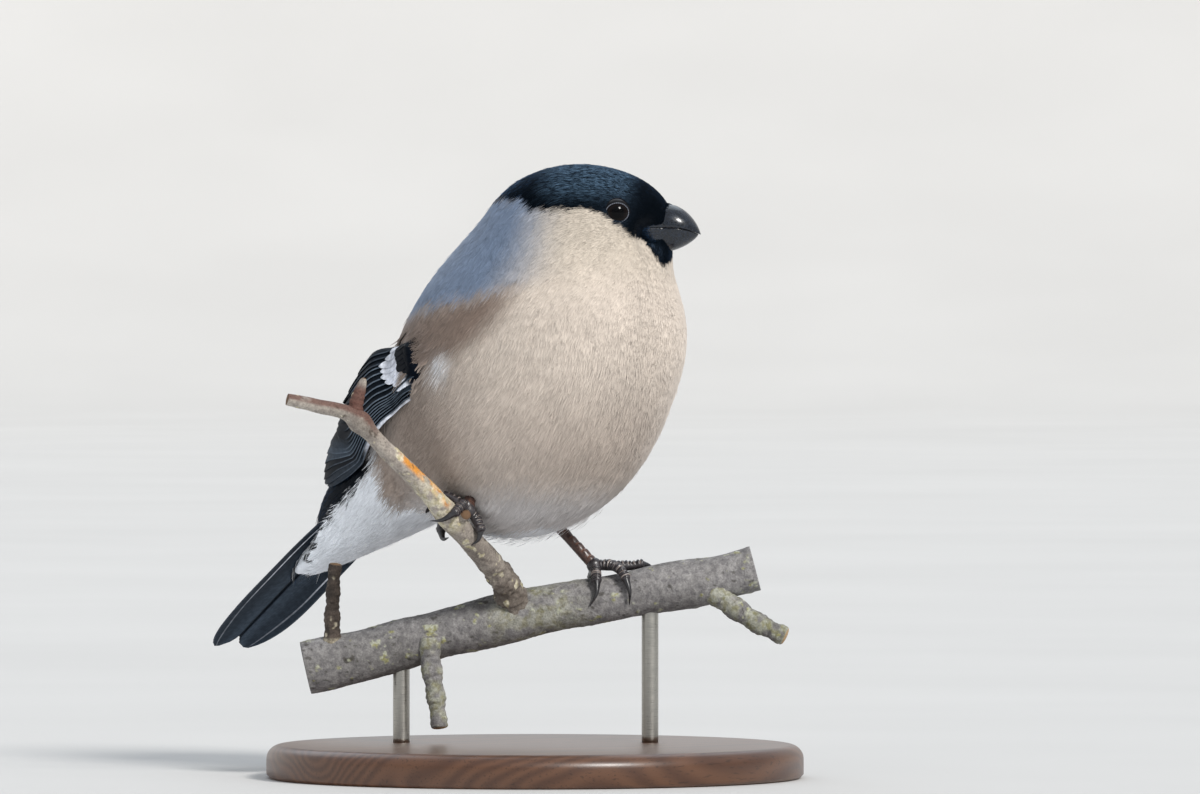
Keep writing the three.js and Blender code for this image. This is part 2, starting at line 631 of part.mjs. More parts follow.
const twigCurve = new THREE.CatmullRomCurve3(TWIG_PATH, false, "centripetal");
const FEET = {
  left: {
    pad: onPerch(12.3, 9.6, -39.9),
    knee: onPerch(4.4, 12.5, -31.5),
    inside: onPerch(0.5, 14, -27.5),
    curve: branchCurve,
    radiusAt: branchRadius,
    toes: [
      {
        stops: [[0.628, 12, 0.35], [0.632, 38, 0.1]],
        claw: [[0.625, 62, 0.5], [0.6, 86, 0.1]],
      },
      {
        stops: [[0.665, 8, 0.6], [0.69, 26, 0.4], [0.702, 42, 0.1]],
        claw: [[0.705, 74, 0.6], [0.7, 102, 0.1]],
      },
      {
        stops: [[0.67, -16, 0.5], [0.71, -24, 0.2], [0.75, -26, 0.1]],
        claw: [[0.77, -36, 0.6], [0.785, -62, 0.1]],
      },
      {
        stops: [[0.615, -32, 0.3], [0.6, -66, 0.1]],
        claw: [[0.59, -96, 0.6], [0.585, -128, 0.1]],
      },
    ],
  },
  right: {
    pad: onPerch(-13.9, -14.2, -27.9),
    knee: onPerch(-13.2, -11, -24.5),
    inside: onPerch(-12, -6.5, -17),
    curve: twigCurve,
    radiusAt: twigRadius,
    toes: [
      {
        stops: [[0.42, 30, 0.4], [0.425, 75, 0.2]],
        claw: [[0.43, 120, 0.7], [0.44, 165, 0.2]],
      },
      {
        stops: [[0.375, 25, 0.5], [0.355, 70, 0.9], [0.345, 115, 0.5]],
        claw: [[0.345, 155, 1], [0.36, 205, 0.6]],
      },
      {
        stops: [[0.36, -20, 0.4], [0.33, -35, 0.1], [0.315, -75, 0.1]],
        claw: [[0.31, -110, 0.5], [0.31, -145, 0.1]],
      },
      {
        stops: [[0.41, -55, 0.4], [0.42, -100, 0.2]],
        claw: [[0.425, -140, 0.9], [0.43, -185, 0.8]],
      },
    ],
  },
};

const PAD_RADIUS = 1.35;
function foot({ pad, curve, radiusAt, toes }, barkNear) {
  const pieces = toes.map(({ stops, claw }) => toe(pad, curve, radiusAt, stops, claw));
  const whole = joined([sphere(pad, PAD_RADIUS, 10, 8), ...pieces]);
  return largest(whole.subtract(bodyNear).subtract(barkNear));
}

// The shank runs from the foot's pad into a socket in the plumage.
function shank({ pad, knee, inside }, grow = 0) {
  const radiusAt = (q) => TARSUS_RADIUS * (0.95 + 0.3 * Math.abs(q - 0.45)) + grow;
  return limb([pad, knee, inside], radiusAt, { steps: 8, sides: 9, dome: 0.1 + grow });
}
function leg(sizes) {
  return largest(shank(sizes).subtract(sphere(sizes.pad, PAD_RADIUS + GAP, 10, 8)).subtract(toesNear(sizes)));
}
// The toes grown by the gap.
function toesNear({ pad, curve, radiusAt, toes }) {
  return joined([sphere(pad, PAD_RADIUS + GAP, 10, 8), ...toes.map(({ stops, claw }) =>
    toe(pad, curve, radiusAt, stops, claw, GAP))]);
}
function torso() {
  const whole = bodyLength(CUTS.coverts + halfGap, CUTS.neck - halfGap, 11);
  return largest(whole.subtract(shank(FEET.left, GAP)).subtract(shank(FEET.right, GAP)));
}

// Stand: a turned base and two rods up to the branch's underside

const FLOOR = -TRUNK_HEIGHT;
function standBase() {
  const profile = [
    [0, 0],
    [BASE_RADIUS - 1, 0],
    [BASE_RADIUS, 1],
    [BASE_RADIUS, BASE_THICKNESS - 3],
    [BASE_RADIUS - 0.9, BASE_THICKNESS - 0.9],
    [BASE_RADIUS - 3, BASE_THICKNESS],
    [0, BASE_THICKNESS],
  ].map(([radius, up]) => new THREE.Vector2(radius, up));
  const geometry = new THREE.LatheGeometry(profile, 48).rotateX(Math.PI / 2);
  geometry.translate(0, 0, FLOOR);
  return solidOf(geometry);
}

const RODS = { stand_rod_rear: -28, stand_rod_front: 24 }; // places across, under the branch
function rod(across) {
  const foot = onPerch(across, BRANCH_DEEP, FLOOR + BASE_THICKNESS + GAP);
  const top = branchCurve.getPoint(clamp((across + 48) / 94, 0, 1)).z;
  const geometry = new THREE.CylinderGeometry(ROD_RADIUS, ROD_RADIUS, top - foot.z, 20);
  geometry.rotateX(Math.PI / 2).translate(foot.x, foot.y, (top + foot.z) / 2);
  return largest(solidOf(geometry).subtract(branch(GAP)));
}

// Colours and finish of each node

const FINISH = {
  buff: { color: 0xa3978e, roughness: 0.95 },
  cap: { color: 0x15171c, roughness: 0.5 },
  grey: { color: 0x87898d, roughness: 0.95 },
  white: { color: 0xdfe2e6, roughness: 0.95 },
  glossyBlack: { color: 0x14161d, roughness: 0.35 },
  horn: { color: 0x22262c, roughness: 0.25 },
  eye: { color: 0x0a0706, roughness: 0.05 },
  skin: { color: 0x3a2a25, roughness: 0.6 },
  bark: { color: 0x7d7873, roughness: 0.95 },
  wood: { color: 0x4a3122, roughness: 0.4 },
  steel: { color: 0xb9b6ae, roughness: 0.3, metalness: 1 },
};

// The outline grown by the gap, which keeps wings and legs clear of the plumage.
const bodyNear = bodyLength(0, 1, 24, GAP);

const barkNear = { left: branch(GAP), right: twig(GAP).add(twigStub(GAP)) };

const bird = new THREE.Group();
bird.position.set(0, 0, TRUNK_HEIGHT);

function add(name, solid, finish) {
  const { vertProperties, triVerts, numProp } = solid.getMesh();
  const positions = new Float32Array((vertProperties.length / numProp) * 3);
  for (let i = 0; i < positions.length / 3; i++)
    positions.set(vertProperties.subarray(i * numProp, i * numProp + 3), i * 3);
  const geometry = new THREE.BufferGeometry();
  geometry.setAttribute("position", new THREE.BufferAttribute(positions, 3));
  geometry.setIndex(new THREE.BufferAttribute(new Uint32Array(triVerts), 1));
  geometry.computeVertexNormals();
  const mesh = new THREE.Mesh(geometry, new THREE.MeshStandardMaterial(FINISH[finish]));
  mesh.name = name;
  bird.add(mesh);
}

add("head", head(), "cap");
add("neck", bodyLength(CUTS.neck + halfGap, CUTS.head - halfGap, 4), "grey");
add("torso", torso(), "buff");
add("tail_coverts", tailCoverts(), "white");
add("tail", tail(), "glossyBlack");
add("bill_upper", billUpper(), "horn");
add("bill_lower", billLowerWith(0), "horn");
for (const [name, side] of [["left", 1], ["right", -1]]) {
  add("eye_" + name, sphere(eyePlace(side).middle, EYE_RADIUS), "eye");
  add("wing_" + name, wing(side), "glossyBlack");
  add("leg_" + name, leg(FEET[name]), "skin");
  add("foot_" + name, foot(FEET[name], barkNear[name]), "skin");
}
add("perch_branch", branch(), "bark");
add("perch_twig", perchTwig(), "bark");
for (const [name, sizes] of Object.entries(SHOOTS)) add(name, shoot(sizes), "bark");
add("stand_base", standBase(), "wood");
for (const [name, across] of Object.entries(RODS)) add(name, rod(across), "steel");

export default bird;
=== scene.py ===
# %% [markdown]
# # A bullfinch on a cut branch
# This lesson builds the looks of a female bullfinch, life size and fluffed up against the cold,
# that stands on a short length of branch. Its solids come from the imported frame. Here it gets a
# skin, about twelve thousand body feathers, finer wings, tail, bill, eyes and feet, and bark.
# Inside the functions a length is in millimetres and is measured from the middle of the bird's
# trunk, as on a maker's drawing. Only add_piece turns it into Blender's metres.

# %% Load the frame
import json
import math
import time

import bpy
import numpy as np
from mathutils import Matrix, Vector

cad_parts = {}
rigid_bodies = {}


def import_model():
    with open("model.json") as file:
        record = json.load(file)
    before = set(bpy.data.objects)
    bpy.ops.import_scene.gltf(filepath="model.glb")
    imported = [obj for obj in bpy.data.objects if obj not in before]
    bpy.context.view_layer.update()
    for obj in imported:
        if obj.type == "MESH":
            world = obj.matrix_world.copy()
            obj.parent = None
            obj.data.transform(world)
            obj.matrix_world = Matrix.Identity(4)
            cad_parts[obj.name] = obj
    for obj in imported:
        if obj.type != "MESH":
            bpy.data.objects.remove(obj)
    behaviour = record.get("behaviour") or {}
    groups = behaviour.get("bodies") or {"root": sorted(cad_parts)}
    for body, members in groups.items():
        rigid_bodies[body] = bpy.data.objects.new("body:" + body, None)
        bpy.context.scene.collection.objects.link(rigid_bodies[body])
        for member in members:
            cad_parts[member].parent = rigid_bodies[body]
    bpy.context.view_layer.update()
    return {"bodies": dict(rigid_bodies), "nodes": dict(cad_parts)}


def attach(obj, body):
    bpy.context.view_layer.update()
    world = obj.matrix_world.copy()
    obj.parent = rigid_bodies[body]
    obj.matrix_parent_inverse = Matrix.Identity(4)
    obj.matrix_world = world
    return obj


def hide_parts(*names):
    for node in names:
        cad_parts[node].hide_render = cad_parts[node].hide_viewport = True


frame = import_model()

MM = 0.001
TRUNK_HEIGHT = 84  # the trunk's middle above the floor
BODY = list(frame["bodies"])[0]
STARTED = time.time()
print("frame:", len(frame["nodes"]), "nodes on", BODY)

# %% [markdown]
# ## Small tools
# Every shape below is a surface over two parameters, worked out as whole numpy arrays. A few words
# of vector arithmetic keep the formulas short. ease() is the usual smooth step, for anything that
# should change gently from one place to another.

# %% Vector tools
UP = np.array([0.0, 0.0, 1.0])
LEFT = np.array([1.0, 0.0, 0.0])  # the bird's own left


def unit(v):
    """Each vector divided by its own length."""
    return v / np.maximum(np.linalg.norm(v, axis=-1, keepdims=True), 1e-9)


def dot(a, b):
    """The sum of the products of the coordinates, kept as a last axis of one."""
    return np.sum(a * b, axis=-1, keepdims=True)


def ease(x, start, end):
    """0 before start, 1 after end, and 3t2 - 2t3 between them."""
    t = np.clip((x - start) / (end - start), 0, 1)
    return t * t * (3 - 2 * t)


def mix(a, b, share):
    """a where share is 0, b where it is 1."""
    return a + (b - a) * share


def axes(turn, pitch):
    """Left, back and up of a form that faces -Y, turned left and pitched up in degrees."""
    t, p = math.radians(turn), math.radians(pitch)
    forward = np.array([math.sin(t) * math.cos(p), -math.cos(t) * math.cos(p), math.sin(p)])
    left = np.array([math.cos(t), math.sin(t), 0.0])
    return left, -forward, np.cross(forward, left)


# %% [markdown]
# ## From arrays to a mesh
# Nearly every piece here is a tube: rings of points along a path, closed at both ends. A toe is a
# tube, and so is a feather's vane, with its rings pressed flat, and so is a single barb, with one
# ring of three points. So one function lays out the faces for any number of equal tubes at once.

# %% Tubes and pieces


def tubes(rings, starts, ends):
    """Points and faces of closed tubes. rings is (tubes, rings, sides, 3), each end a fan."""
    count, rows, sides, _ = rings.shape
    flat = rings.reshape(count, rows * sides, 3)
    points = np.concatenate([starts[:, None], flat, ends[:, None]], axis=1)
    row, side = np.meshgrid(np.arange(rows - 1), np.arange(sides), indexing="ij")
    at = lambda r, s: 1 + r * sides + s % sides
    corners = at(row, side), at(row, side + 1), at(row + 1, side + 1), at(row + 1, side)
    wall = np.stack(corners, -1)
    side = np.arange(sides)
    first = np.stack([0 * side, at(0, side + 1), at(0, side)], -1)
    last = np.stack([0 * side + rows * sides + 1, at(rows - 1, side), at(rows - 1, side + 1)], -1)
    offsets = np.arange(count)[:, None, None] * (rows * sides + 2)
    parts = [wall.reshape(-1, 4), first, last]
    return points.reshape(-1, 3), [(p[None] + offsets).reshape(-1, p.shape[1]) for p in parts]


def tube(rings):
    """One tube, closed at the mean of its first and of its last ring."""
    return tubes(rings[None], rings[None, 0].mean(1), rings[None, -1].mean(1))


def with_ends(value):
    """A value told ring by ring, with one more at each end, the mean of the ring there."""
    return np.concatenate([[value[0].mean()], value.ravel(), [value[-1].mean()]])


def facing_out(points, faces):
    """The faces, turned round if the volume that they enclose comes out negative."""
    volume = 0.0
    for f in faces:
        for k in range(1, f.shape[1] - 1):
            a, b, c = points[f[:, 0]], points[f[:, k]], points[f[:, k + 1]]
            volume += float(np.sum(a * np.cross(b, c)))
    return faces if volume > 0 else [f[:, ::-1] for f in faces]


def add_piece(name, shape, material, slot, values=None, uv=None, replaces=(), normals=None):
    """One mesh object from (points, faces), with its point values, its OFBake map and, where they
    are given, its own normals. It rides on the bird."""
    points, faces = shape
    assert np.isfinite(points).all(), name
    faces = facing_out(points, faces)
    corners = np.concatenate([f.ravel() for f in faces]).astype(np.int32)
    sizes = np.concatenate([np.full(len(f), f.shape[1]) for f in faces])
    starts = (np.cumsum(sizes) - sizes).astype(np.int32)
    mesh = bpy.data.meshes.new(name)
    mesh.vertices.add(len(points))
    metres = (points + TRUNK_HEIGHT * UP) * MM
    mesh.vertices.foreach_set("co", metres.astype(np.float32).ravel())
    mesh.loops.add(len(corners))
    mesh.loops.foreach_set("vertex_index", corners)
    mesh.polygons.add(len(starts))
    mesh.polygons.foreach_set("loop_start", starts)
    mesh.polygons.foreach_set("use_smooth", np.ones(len(starts), bool))
    mesh.update(calc_edges=True)
    for key, value in (values or {}).items():
        attribute = mesh.attributes.new(key, "FLOAT", "POINT")
        attribute.data.foreach_set("value", value.astype(np.float32).ravel())
    if uv is not None:
        layer = mesh.uv_layers.new(name="OFBake")
        layer.data.foreach_set("uv", uv[corners].astype(np.float32).ravel())
    if normals is not None:
        mesh.normals_split_custom_set_from_vertices(normals)
    mesh.materials.append(material)
    piece = bpy.data.objects.new(name, mesh)
    bpy.context.scene.collection.objects.link(piece)
    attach(piece, BODY)
    if replaces:
        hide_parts(*replaces)
    print(f"{name}: {int(np.sum(sizes - 2)):,} triangles, {time.time() - STARTED:.0f} s")
    return piece


def together(shapes):
    """Several (points, faces) joined into one."""
    points, faces, offset = [], [], 0
    for p, fs in shapes:
        points.append(p)
        faces += [f + offset for f in facing_out(p, fs)]
        offset += len(p)
    return np.concatenate(points), faces


# %% [markdown]
# ## The plumage's outline
# A fluffed up bird is nearly a ball, because its feathers even out every hollow. Its outline is
# modelled as eleven ellipsoids joined by a soft minimum, which rounds the place where two of them
# meet, as feathers do. The same forms shape the solids of the frame, so the coat fits the frame
# with no trying. A distance function also gives the direction away from the body anywhere, which
# is just what each feather needs.

# %% Ellipsoids of the body
BLEND = 2.8
HEAD_TURN = 38
HEAD_MIDDLE = np.array([0.5, -14.0, 32.8])
HEAD_LEFT, HEAD_BACK, HEAD_UP = axes(HEAD_TURN, 0)
# Each form: its middle, its half sizes across, along and through, its turn and its pitch.
FORMS = {
    "skull": (HEAD_MIDDLE, (12.2, 17, 9.7), HEAD_TURN, 0),
    "cheeks": ((2.7, -17.2, 27), (10.8, 12.2, 10), HEAD_TURN, 0),
    "trunk": ((0, 0, -2), (26.5, 33, 28.5), 0, 50),
    "breast": ((1.5, -13, 10), (21.5, 19, 20.5), 10, 50),
    "belly": ((0, 10, -10.5), (22.5, 22.5, 20), 0, 38),
    "mantle": ((0, 8, 9.5), (20.5, 31, 15.5), 0, 50),
    "neck": ((0.8, -7.5, 21.5), (18, 20, 17), 18, 58),
    "rump": ((0, 29, -13.5), (15, 22, 11.5), 0, 42),
    "vent": ((0, 38, -22.5), (11, 19, 7), 0, 31),
    "undertail coverts": ((0, 52, -33.2), (6.6, 22.5, 3.4), 0, 26.3),
    "uppertail coverts": ((0, 45, -21.6), (9, 17.5, 4.8), 0, 37.5),
}

# Behind each corner of the bill the feathers are short and the face is hollow.
GAPES = [
    HEAD_MIDDLE + side * 7.5 * HEAD_LEFT - 15.2 * HEAD_BACK - 4.3 * HEAD_UP for side in (-1, 1)]
GAPE_DEPTH, GAPE_SPREAD = 4.4, 2.3


def body_distance(points):
    """Distance from the outline, negative inside: the soft least of the ellipsoids' distances, with
    a hollow behind each corner of the bill that fades as a bell curve."""
    total = 0.0
    for middle, half_sizes, turn, pitch in FORMS.values():
        local = (points - np.asarray(middle)) @ np.stack(axes(turn, pitch), axis=1)
        k = np.sqrt(np.sum((local / half_sizes) ** 2, axis=-1))
        slope = np.sqrt(np.sum((local / np.square(half_sizes)) ** 2, axis=-1)) + 1e-9
        total = total + np.exp(-np.clip(k * (k - 1) / slope, -60, 60) / BLEND)
    bell = lambda gape: np.exp(-np.sum((points - gape) ** 2, axis=-1) / (2 * GAPE_SPREAD**2))
    return -BLEND * np.log(total) + GAPE_DEPTH * sum(bell(gape) for gape in GAPES)


def outward(points):
    """The direction in which the distance grows fastest, from small steps along X, Y and Z."""
    rise = [body_distance(points + s) - body_distance(points - s) for s in np.eye(3) * 0.05]
    return unit(np.stack(rise, -1))


def reach(start, direction):
    """How far the outline is from a point inside it, found by halving the stretch that holds it."""
    inside = np.zeros(start.shape[:-1])
    outside = np.full(start.shape[:-1], 70.0)
    for _ in range(18):  # 70 mm halved 18 times is 0.0003 mm
        middle = (inside + outside) / 2
        within = body_distance(start + direction * middle[..., None]) < 0
        inside = np.where(within, middle, inside)
        outside = np.where(within, outside, middle)
    return inside[..., None]


# %% [markdown]
# ## A map of the body
# Like a globe, the body gets two coordinates. "station" runs from the undertail to the crown and
# "around" is an angle from the back over the left side. A ray from the spine in that direction
# meets the outline in one point. The map is used three times: for the skin, for the places where
# feathers grow, and for the patches on which the colours of each feather are baked.

# %% Places on the body
SPINE = np.array([[0, 64, -37.5], [0, 30, -20], [0, -8, 0], [0.5, -14, 31]])
TAIL_CAP, HEAD_CAP = 0.06, 0.17  # shares of "station" past the spine's ends


def spine(along):
    """A cubic Bezier curve and its direction: sums of the four points by Bernstein's weights."""
    t = along[..., None]
    a, b, c, d = SPINE
    place = (1 - t) ** 3 * a + 3 * (1 - t) ** 2 * t * b + 3 * (1 - t) * t**2 * c + t**3 * d
    ahead = 3 * (1 - t) ** 2 * (b - a) + 6 * (1 - t) * t * (c - b) + 3 * t**2 * (d - c)
    return place, unit(ahead)


def spine_share(station):
    """The share of the spine at a station, held at its ends in the two caps."""
    return np.clip((station - TAIL_CAP) / (1 - TAIL_CAP - HEAD_CAP), 0, 1)


def outline(station, around):
    """The outline's point where the ray leaves it. In the caps the ray leans over to the pole."""
    tail_lean = np.clip(1 - station / TAIL_CAP, 0, 1)
    head_lean = np.clip((station - 1 + HEAD_CAP) / HEAD_CAP, 0, 1)
    polar = (math.pi / 2 * (1 + tail_lean - head_lean))[..., None]
    middle, ahead = spine(spine_share(station))
    back = unit(np.cross(ahead, LEFT))
    a = around[..., None]
    across = back * np.cos(a) + LEFT * np.sin(a)
    direction = unit(across * np.sin(polar) + ahead * np.cos(polar))
    return middle + direction * reach(middle, direction)


# %% [markdown]
# ## Markings
# A bullfinch hen has a glossy black cap that comes down over the eye to the chin, a blue-grey nape,
# a brown mantle, a pinkish buff face and breast, and a white vent and rump. Each marking is a mask
# from 0 to 1, worked out from where a point lies. The skin and the coat ask the same function, so
# a gap between two feathers shows the right colour.

# %% Masks for the markings
TAIL_ROOT = np.array([0, 44, -21.0])
TAIL_LEFT, TAIL_ALONG, TAIL_UP = LEFT, *axes(0, 36)[1:]
HEAD_REACH = 16.9  # from the head's middle to its front
# The cap's lower edge, in the head's own frame, from the chin round the side to the nape.
CAP_EDGE_BACK = (-18.6, -17.0, -15.0, -13.3, -10.5, -7.5, -4.5, -1.2, 4.0, 9.4, 13.0)
CAP_EDGE_UP = (-10.6, -10.0, -7.6, -5.3, -2.9, -0.7, 1.3, 2.1, 1.9, 1.5, 4.0)


def on_head(left, ahead, up):
    """A point in the head's own frame, ahead counted from its front."""
    return HEAD_MIDDLE + left * HEAD_LEFT - (HEAD_REACH + ahead) * HEAD_BACK + up * HEAD_UP


BILL_BASE = on_head(0, -3.0, -2.0)


def markings(points, station, around):
    """Masks by name. The cap is what lies above its edge, the others follow the two coordinates."""
    from_head = points - HEAD_MIDDLE
    back, up, left = from_head @ HEAD_BACK, from_head @ HEAD_UP, from_head @ HEAD_LEFT
    cap = ease(up - np.interp(back, CAP_EDGE_BACK, CAP_EDGE_UP), -0.25, 0.25) * (station > 0.6)
    # The bib below the chin is a wedge that leans to the side of the breast's middle.
    bib_middle = np.interp(up, (-12, -10.6, -8, -5), (-7, -6, -2.5, 0))
    bib = np.interp(up, (-12, -10.8, -10, -8.5, -7, -5), (0.0, 0.5, 1.6, 4.0, 7.5, 30))
    cap = cap * (1 - ease(np.abs(left - bib_middle) - bib, -0.3, 0.3))
    dorsal = np.cos(around)  # 1 along the back, -1 along the belly
    y, z = points[..., 1], points[..., 2]
    tail_line = np.interp(y, (34, 46, 50, 57, 62), (0.09, 0.05, 0.02, 0.05, 0.12))
    over_tail = ease(y, 33, 36 + 2 * ease(dorsal, 0.2, 0.5)) * ease(dorsal - tail_line, -0.04, 0.04)
    over_tail = over_tail * np.where(y > 57, (points - TAIL_ROOT) @ TAIL_UP > -1.6, 1)
    cap = np.maximum(cap, over_tail)
    nape_low = 17 - 6 * dorsal
    nape = ease(dorsal, -0.72, 0.30) * ease(z, nape_low - 2.5, nape_low + 2.0)
    side = np.interp(z, (-6, 2, 8, 16), (0.35, 0.0, -0.18, -0.25))
    mantle = ease(dorsal, side - 0.18, side + 0.18) * (1 - ease(z, nape_low - 3.0, nape_low + 2.5))
    vent_start = np.interp(-dorsal, (0.6, 0.85, 0.95, 1.0), (33, 26, 10, -6))
    vent = ease(y, vent_start - 0.8, vent_start + 1.6) * ease(-dorsal, -0.35, 0.0)
    vent = vent + 0.4 * ease(-z, 21, 30) * ease(-dorsal, 0.2, 0.9)  # paler under the belly too
    rump = ease(y, 30, 35) * ease(dorsal, -0.2, 0.15)
    beside = np.stack([np.abs(points[..., 0]) - 26.7, y - 2.1, z - 1.0], -1)
    down = 0.9 * np.exp(-np.sum(beside**2, axis=-1) / (2 * 1.7**2))  # a pale tuft before the wing
    white = np.clip(vent + rump + down, 0, 1)
    white = white * (1 - cap)
    # Painted shade: the rear half of the side, below the mantle and above the belly, takes part of
    # the mantle's brown.
    painted_side_shade = 0.7 * ease(y, -12, 14) * ease(dorsal, -0.98, -0.6)
    painted_side_shade = painted_side_shade * ease(-z, -nape_low, 6 - nape_low)
    mantle = np.maximum(mantle, painted_side_shade) * (1 - white) * (1 - cap)
    return {"cap": cap, "nape": nape * (1 - cap), "mantle": mantle, "white": white}


# %% [markdown]
# ## Wings as a place
# The folded wings press on the coat. No body feather grows where a wing lies bare, and the coat
# climbs over the wing's front and lower edge. So the wing's own two coordinates are needed before
# the coat is made: millimetres forward from the wing's tip, and millimetres up from its lower edge.

# %% The surface that a folded wing lies on
WING_REAR = np.array([0, 62, -27.0])
_, WING_BACK, WING_UP = axes(0, 27)
WING_TIP = 5.8


def lower_edge(from_tip):
    """The angle from straight up at which the wing's lower edge runs: it sags in the middle."""
    degrees = np.interp(from_tip, (9, 14, 25, 31, 37, 42, 48), (102, 103, 105, 105, 101, 98, 97))
    return np.radians(degrees)


def wing_half_width(from_tip):
    """26 mm at the shoulder, less by the square of the distance behind it."""
    return 26 - 0.0089 * np.maximum(53.9 - from_tip, 0) ** 2


def wing_place(points):
    """Millimetres from the tip and up from the lower edge, for points on either side."""
    from_rear = points - WING_REAR
    from_tip = -from_rear @ WING_BACK
    angle = np.arctan2(np.abs(from_rear[..., 0]), from_rear @ WING_UP)
    return from_tip, (lower_edge(from_tip) - angle) * wing_half_width(from_tip)


def wing_margin(from_tip, up, below=0.0):
    """Millimetres inside the wing's bare part, less than 0 where body feathers cover it."""
    top = np.interp(from_tip, (12, 20, 26, 30, 36, 44, 49, 52, 54.5, 60, 62.7),
                    (8, 11, 16, 21, 23, 20, 18.5, 17, 14.3, 12.4, 7.5))
    low = np.interp(from_tip, (44, 52, 57, 60.5, 62.5), (0.6, 0.4, 1.0, 2.2, 5)) - below
    return np.minimum(np.minimum(top - up, up - low), 63 - from_tip)


def wing_surface(side, from_tip, up, height):
    """A point of a wing: the farther of an oval round the wing's line and the plumage, as a soft
    greatest, raised by the height. Where the coat covers the wing, it dips under the outline."""
    half_width = wing_half_width(from_tip)
    top = 3 + 0.42 * np.maximum(from_tip - WING_TIP, 0)
    angle = (lower_edge(from_tip) - up / half_width)[..., None]
    direction = WING_UP * np.cos(angle) + side * LEFT * np.sin(angle)
    middle = WING_REAR - WING_BACK * from_tip[..., None]
    own = (1 - 0.4 * ease(from_tip, 46, 62)[..., None]) / np.hypot(
        np.sin(angle) / half_width[..., None], np.cos(angle) / top[..., None]
    )
    body = reach(middle, direction)
    soft = 0.6
    radius = np.maximum(own, body) + soft * np.log1p(np.exp(-np.abs(own - body) / soft))
    below = mix(4.0, 0.8, ease(from_tip, 52, 59))
    shows = ease(wing_margin(from_tip, up, below), -1.0, 3.0)[..., None]
    open_part, covered = radius + height[..., None], body - 1.6 + 0.3 * height[..., None]
    return middle + direction * mix(covered, open_part, shows)


# %% [markdown]
# ## Where feathers grow
# Feathers stand densest where they are shortest, on the face. The map is weighed by the area that
# each cell covers and by that density, and an even sequence of numbers is read through the weights.
# It spreads the roots far more evenly than dice would, with none of the rows that a grid leaves.

# %% Feather roots
FEATHERS = 12400
GRID_STATIONS, GRID_ROUNDS = 240, 160
FIRST_STATION = 0.002  # the map's poles themselves bear no feather


def coat_length(points):
    """How long the feathers are: 1.6 mm at the bill, and up to 8.8 mm on the body."""
    from_bill = np.linalg.norm(points - BILL_BASE, axis=-1)
    return np.interp(from_bill, (4, 9, 16, 26, 42, 62), (1.6, 2.3, 3.4, 5.0, 7.4, 8.8))


def coat_depth(points):
    """How far the skin lies under the outline: 0.25 mm at the bill, 0.65 mm on the body."""
    from_bill = np.linalg.norm(points - BILL_BASE, axis=-1)
    return 0.25 + 0.40 * ease(from_bill, 6, 34)


def root_weights():
    """Area of each cell of the map, over the square of the feathers' length there."""
    station = np.linspace(FIRST_STATION, 1 - FIRST_STATION, GRID_STATIONS)
    around = np.linspace(-math.pi, math.pi, GRID_ROUNDS, endpoint=False)
    grid = outline(*np.meshgrid(station, around, indexing="ij"))
    down = np.gradient(grid, axis=0)
    over = (np.roll(grid, -1, 1) - np.roll(grid, 1, 1)) / 2
    area = np.linalg.norm(np.cross(down, over), axis=-1)
    from_tip, up = wing_place(grid)
    bare = ease(wing_margin(from_tip, up), 2, 5) * ease(from_tip, 12, 16)
    return area / coat_length(grid) ** 1.8 * (1 - 0.985 * bare)


def even_roots(count):
    """Stations and angles of the roots: two even sequences read through the summed weights."""
    weights = root_weights()
    golden = 1.32471795724  # the plastic number, whose powers give an even spread in a square
    n = np.arange(1, count + 1)
    first, second = (0.5 + n / golden) % 1, (0.5 + n / golden**2) % 1
    by_station = np.cumsum(weights.sum(1))
    row_place = np.interp(first * by_station[-1], by_station, np.arange(1, GRID_STATIONS + 1))
    row = np.clip(row_place.astype(int), 0, GRID_STATIONS - 1)
    by_angle = np.cumsum(weights[row], axis=1)
    sought = second[:, None] * by_angle[:, -1:]
    column = np.sum(by_angle < sought, axis=1)
    before = np.where(column > 0, by_angle[np.arange(count), column - 1], 0)
    share = (sought[:, 0] - before) / np.maximum(weights[row, column], 1e-12)
    station = FIRST_STATION + (1 - 2 * FIRST_STATION) * row_place / GRID_STATIONS
    return station, -math.pi + 2 * math.pi * (column + share) / GRID_ROUNDS


random = np.random.default_rng(12)
root_station, root_around = even_roots(FEATHERS)
roots = outline(root_station, root_around)
print(f"{FEATHERS} roots, {time.time() - STARTED:.0f} s")

# %% [markdown]
# ## The lie of the coat
# Feathers point away from the bill all over the head, and along the body to the tail behind it.
# The two directions are mixed by distance, laid flat on the surface, and turned a little here and
# there, as a live coat is.

# %% Lie of the feathers
MOST_STAND_OFF = 1.9  # of a feather's tip from the outline


def lie_at(points, normals, station):
    """Away from the bill near it, tailward along the spine farther off, pressed to the surface."""
    from_bill = points - BILL_BASE
    _, ahead = spine(spine_share(station))
    tailward = -ahead - 0.12 * UP
    near = 1 - ease(np.linalg.norm(from_bill, axis=-1, keepdims=True), 12, 40)
    flow = mix(unit(tailward), unit(from_bill), near)
    return unit(flow - normals * dot(flow, normals))


def turned(direction, normals, angle):
    """The direction turned on the surface: cos times itself plus sin times its side."""
    return direction * np.cos(angle) + np.cross(normals, direction) * np.sin(angle)


normals = outward(roots)
lie = lie_at(roots, normals, root_station)
swirl = 0.10 * np.sin(roots @ (0.21, 0.15, 0.25)) + 0.05 * np.sin(roots @ (-0.43, 0.51, 0.29) + 2)
stray = random.normal(0, 0.05, FEATHERS)
lie = turned(lie, normals, (swirl + stray)[:, None])
feather_length = coat_length(roots) * random.uniform(0.85, 1.15, FEATHERS)
for _ in range(5):  # a feather is shorter where the outline turns away under its tip
    stands_off = body_distance(roots + lie * feather_length[:, None]) > MOST_STAND_OFF
    feather_length = np.where(stands_off, 0.8 * feather_length, feather_length)
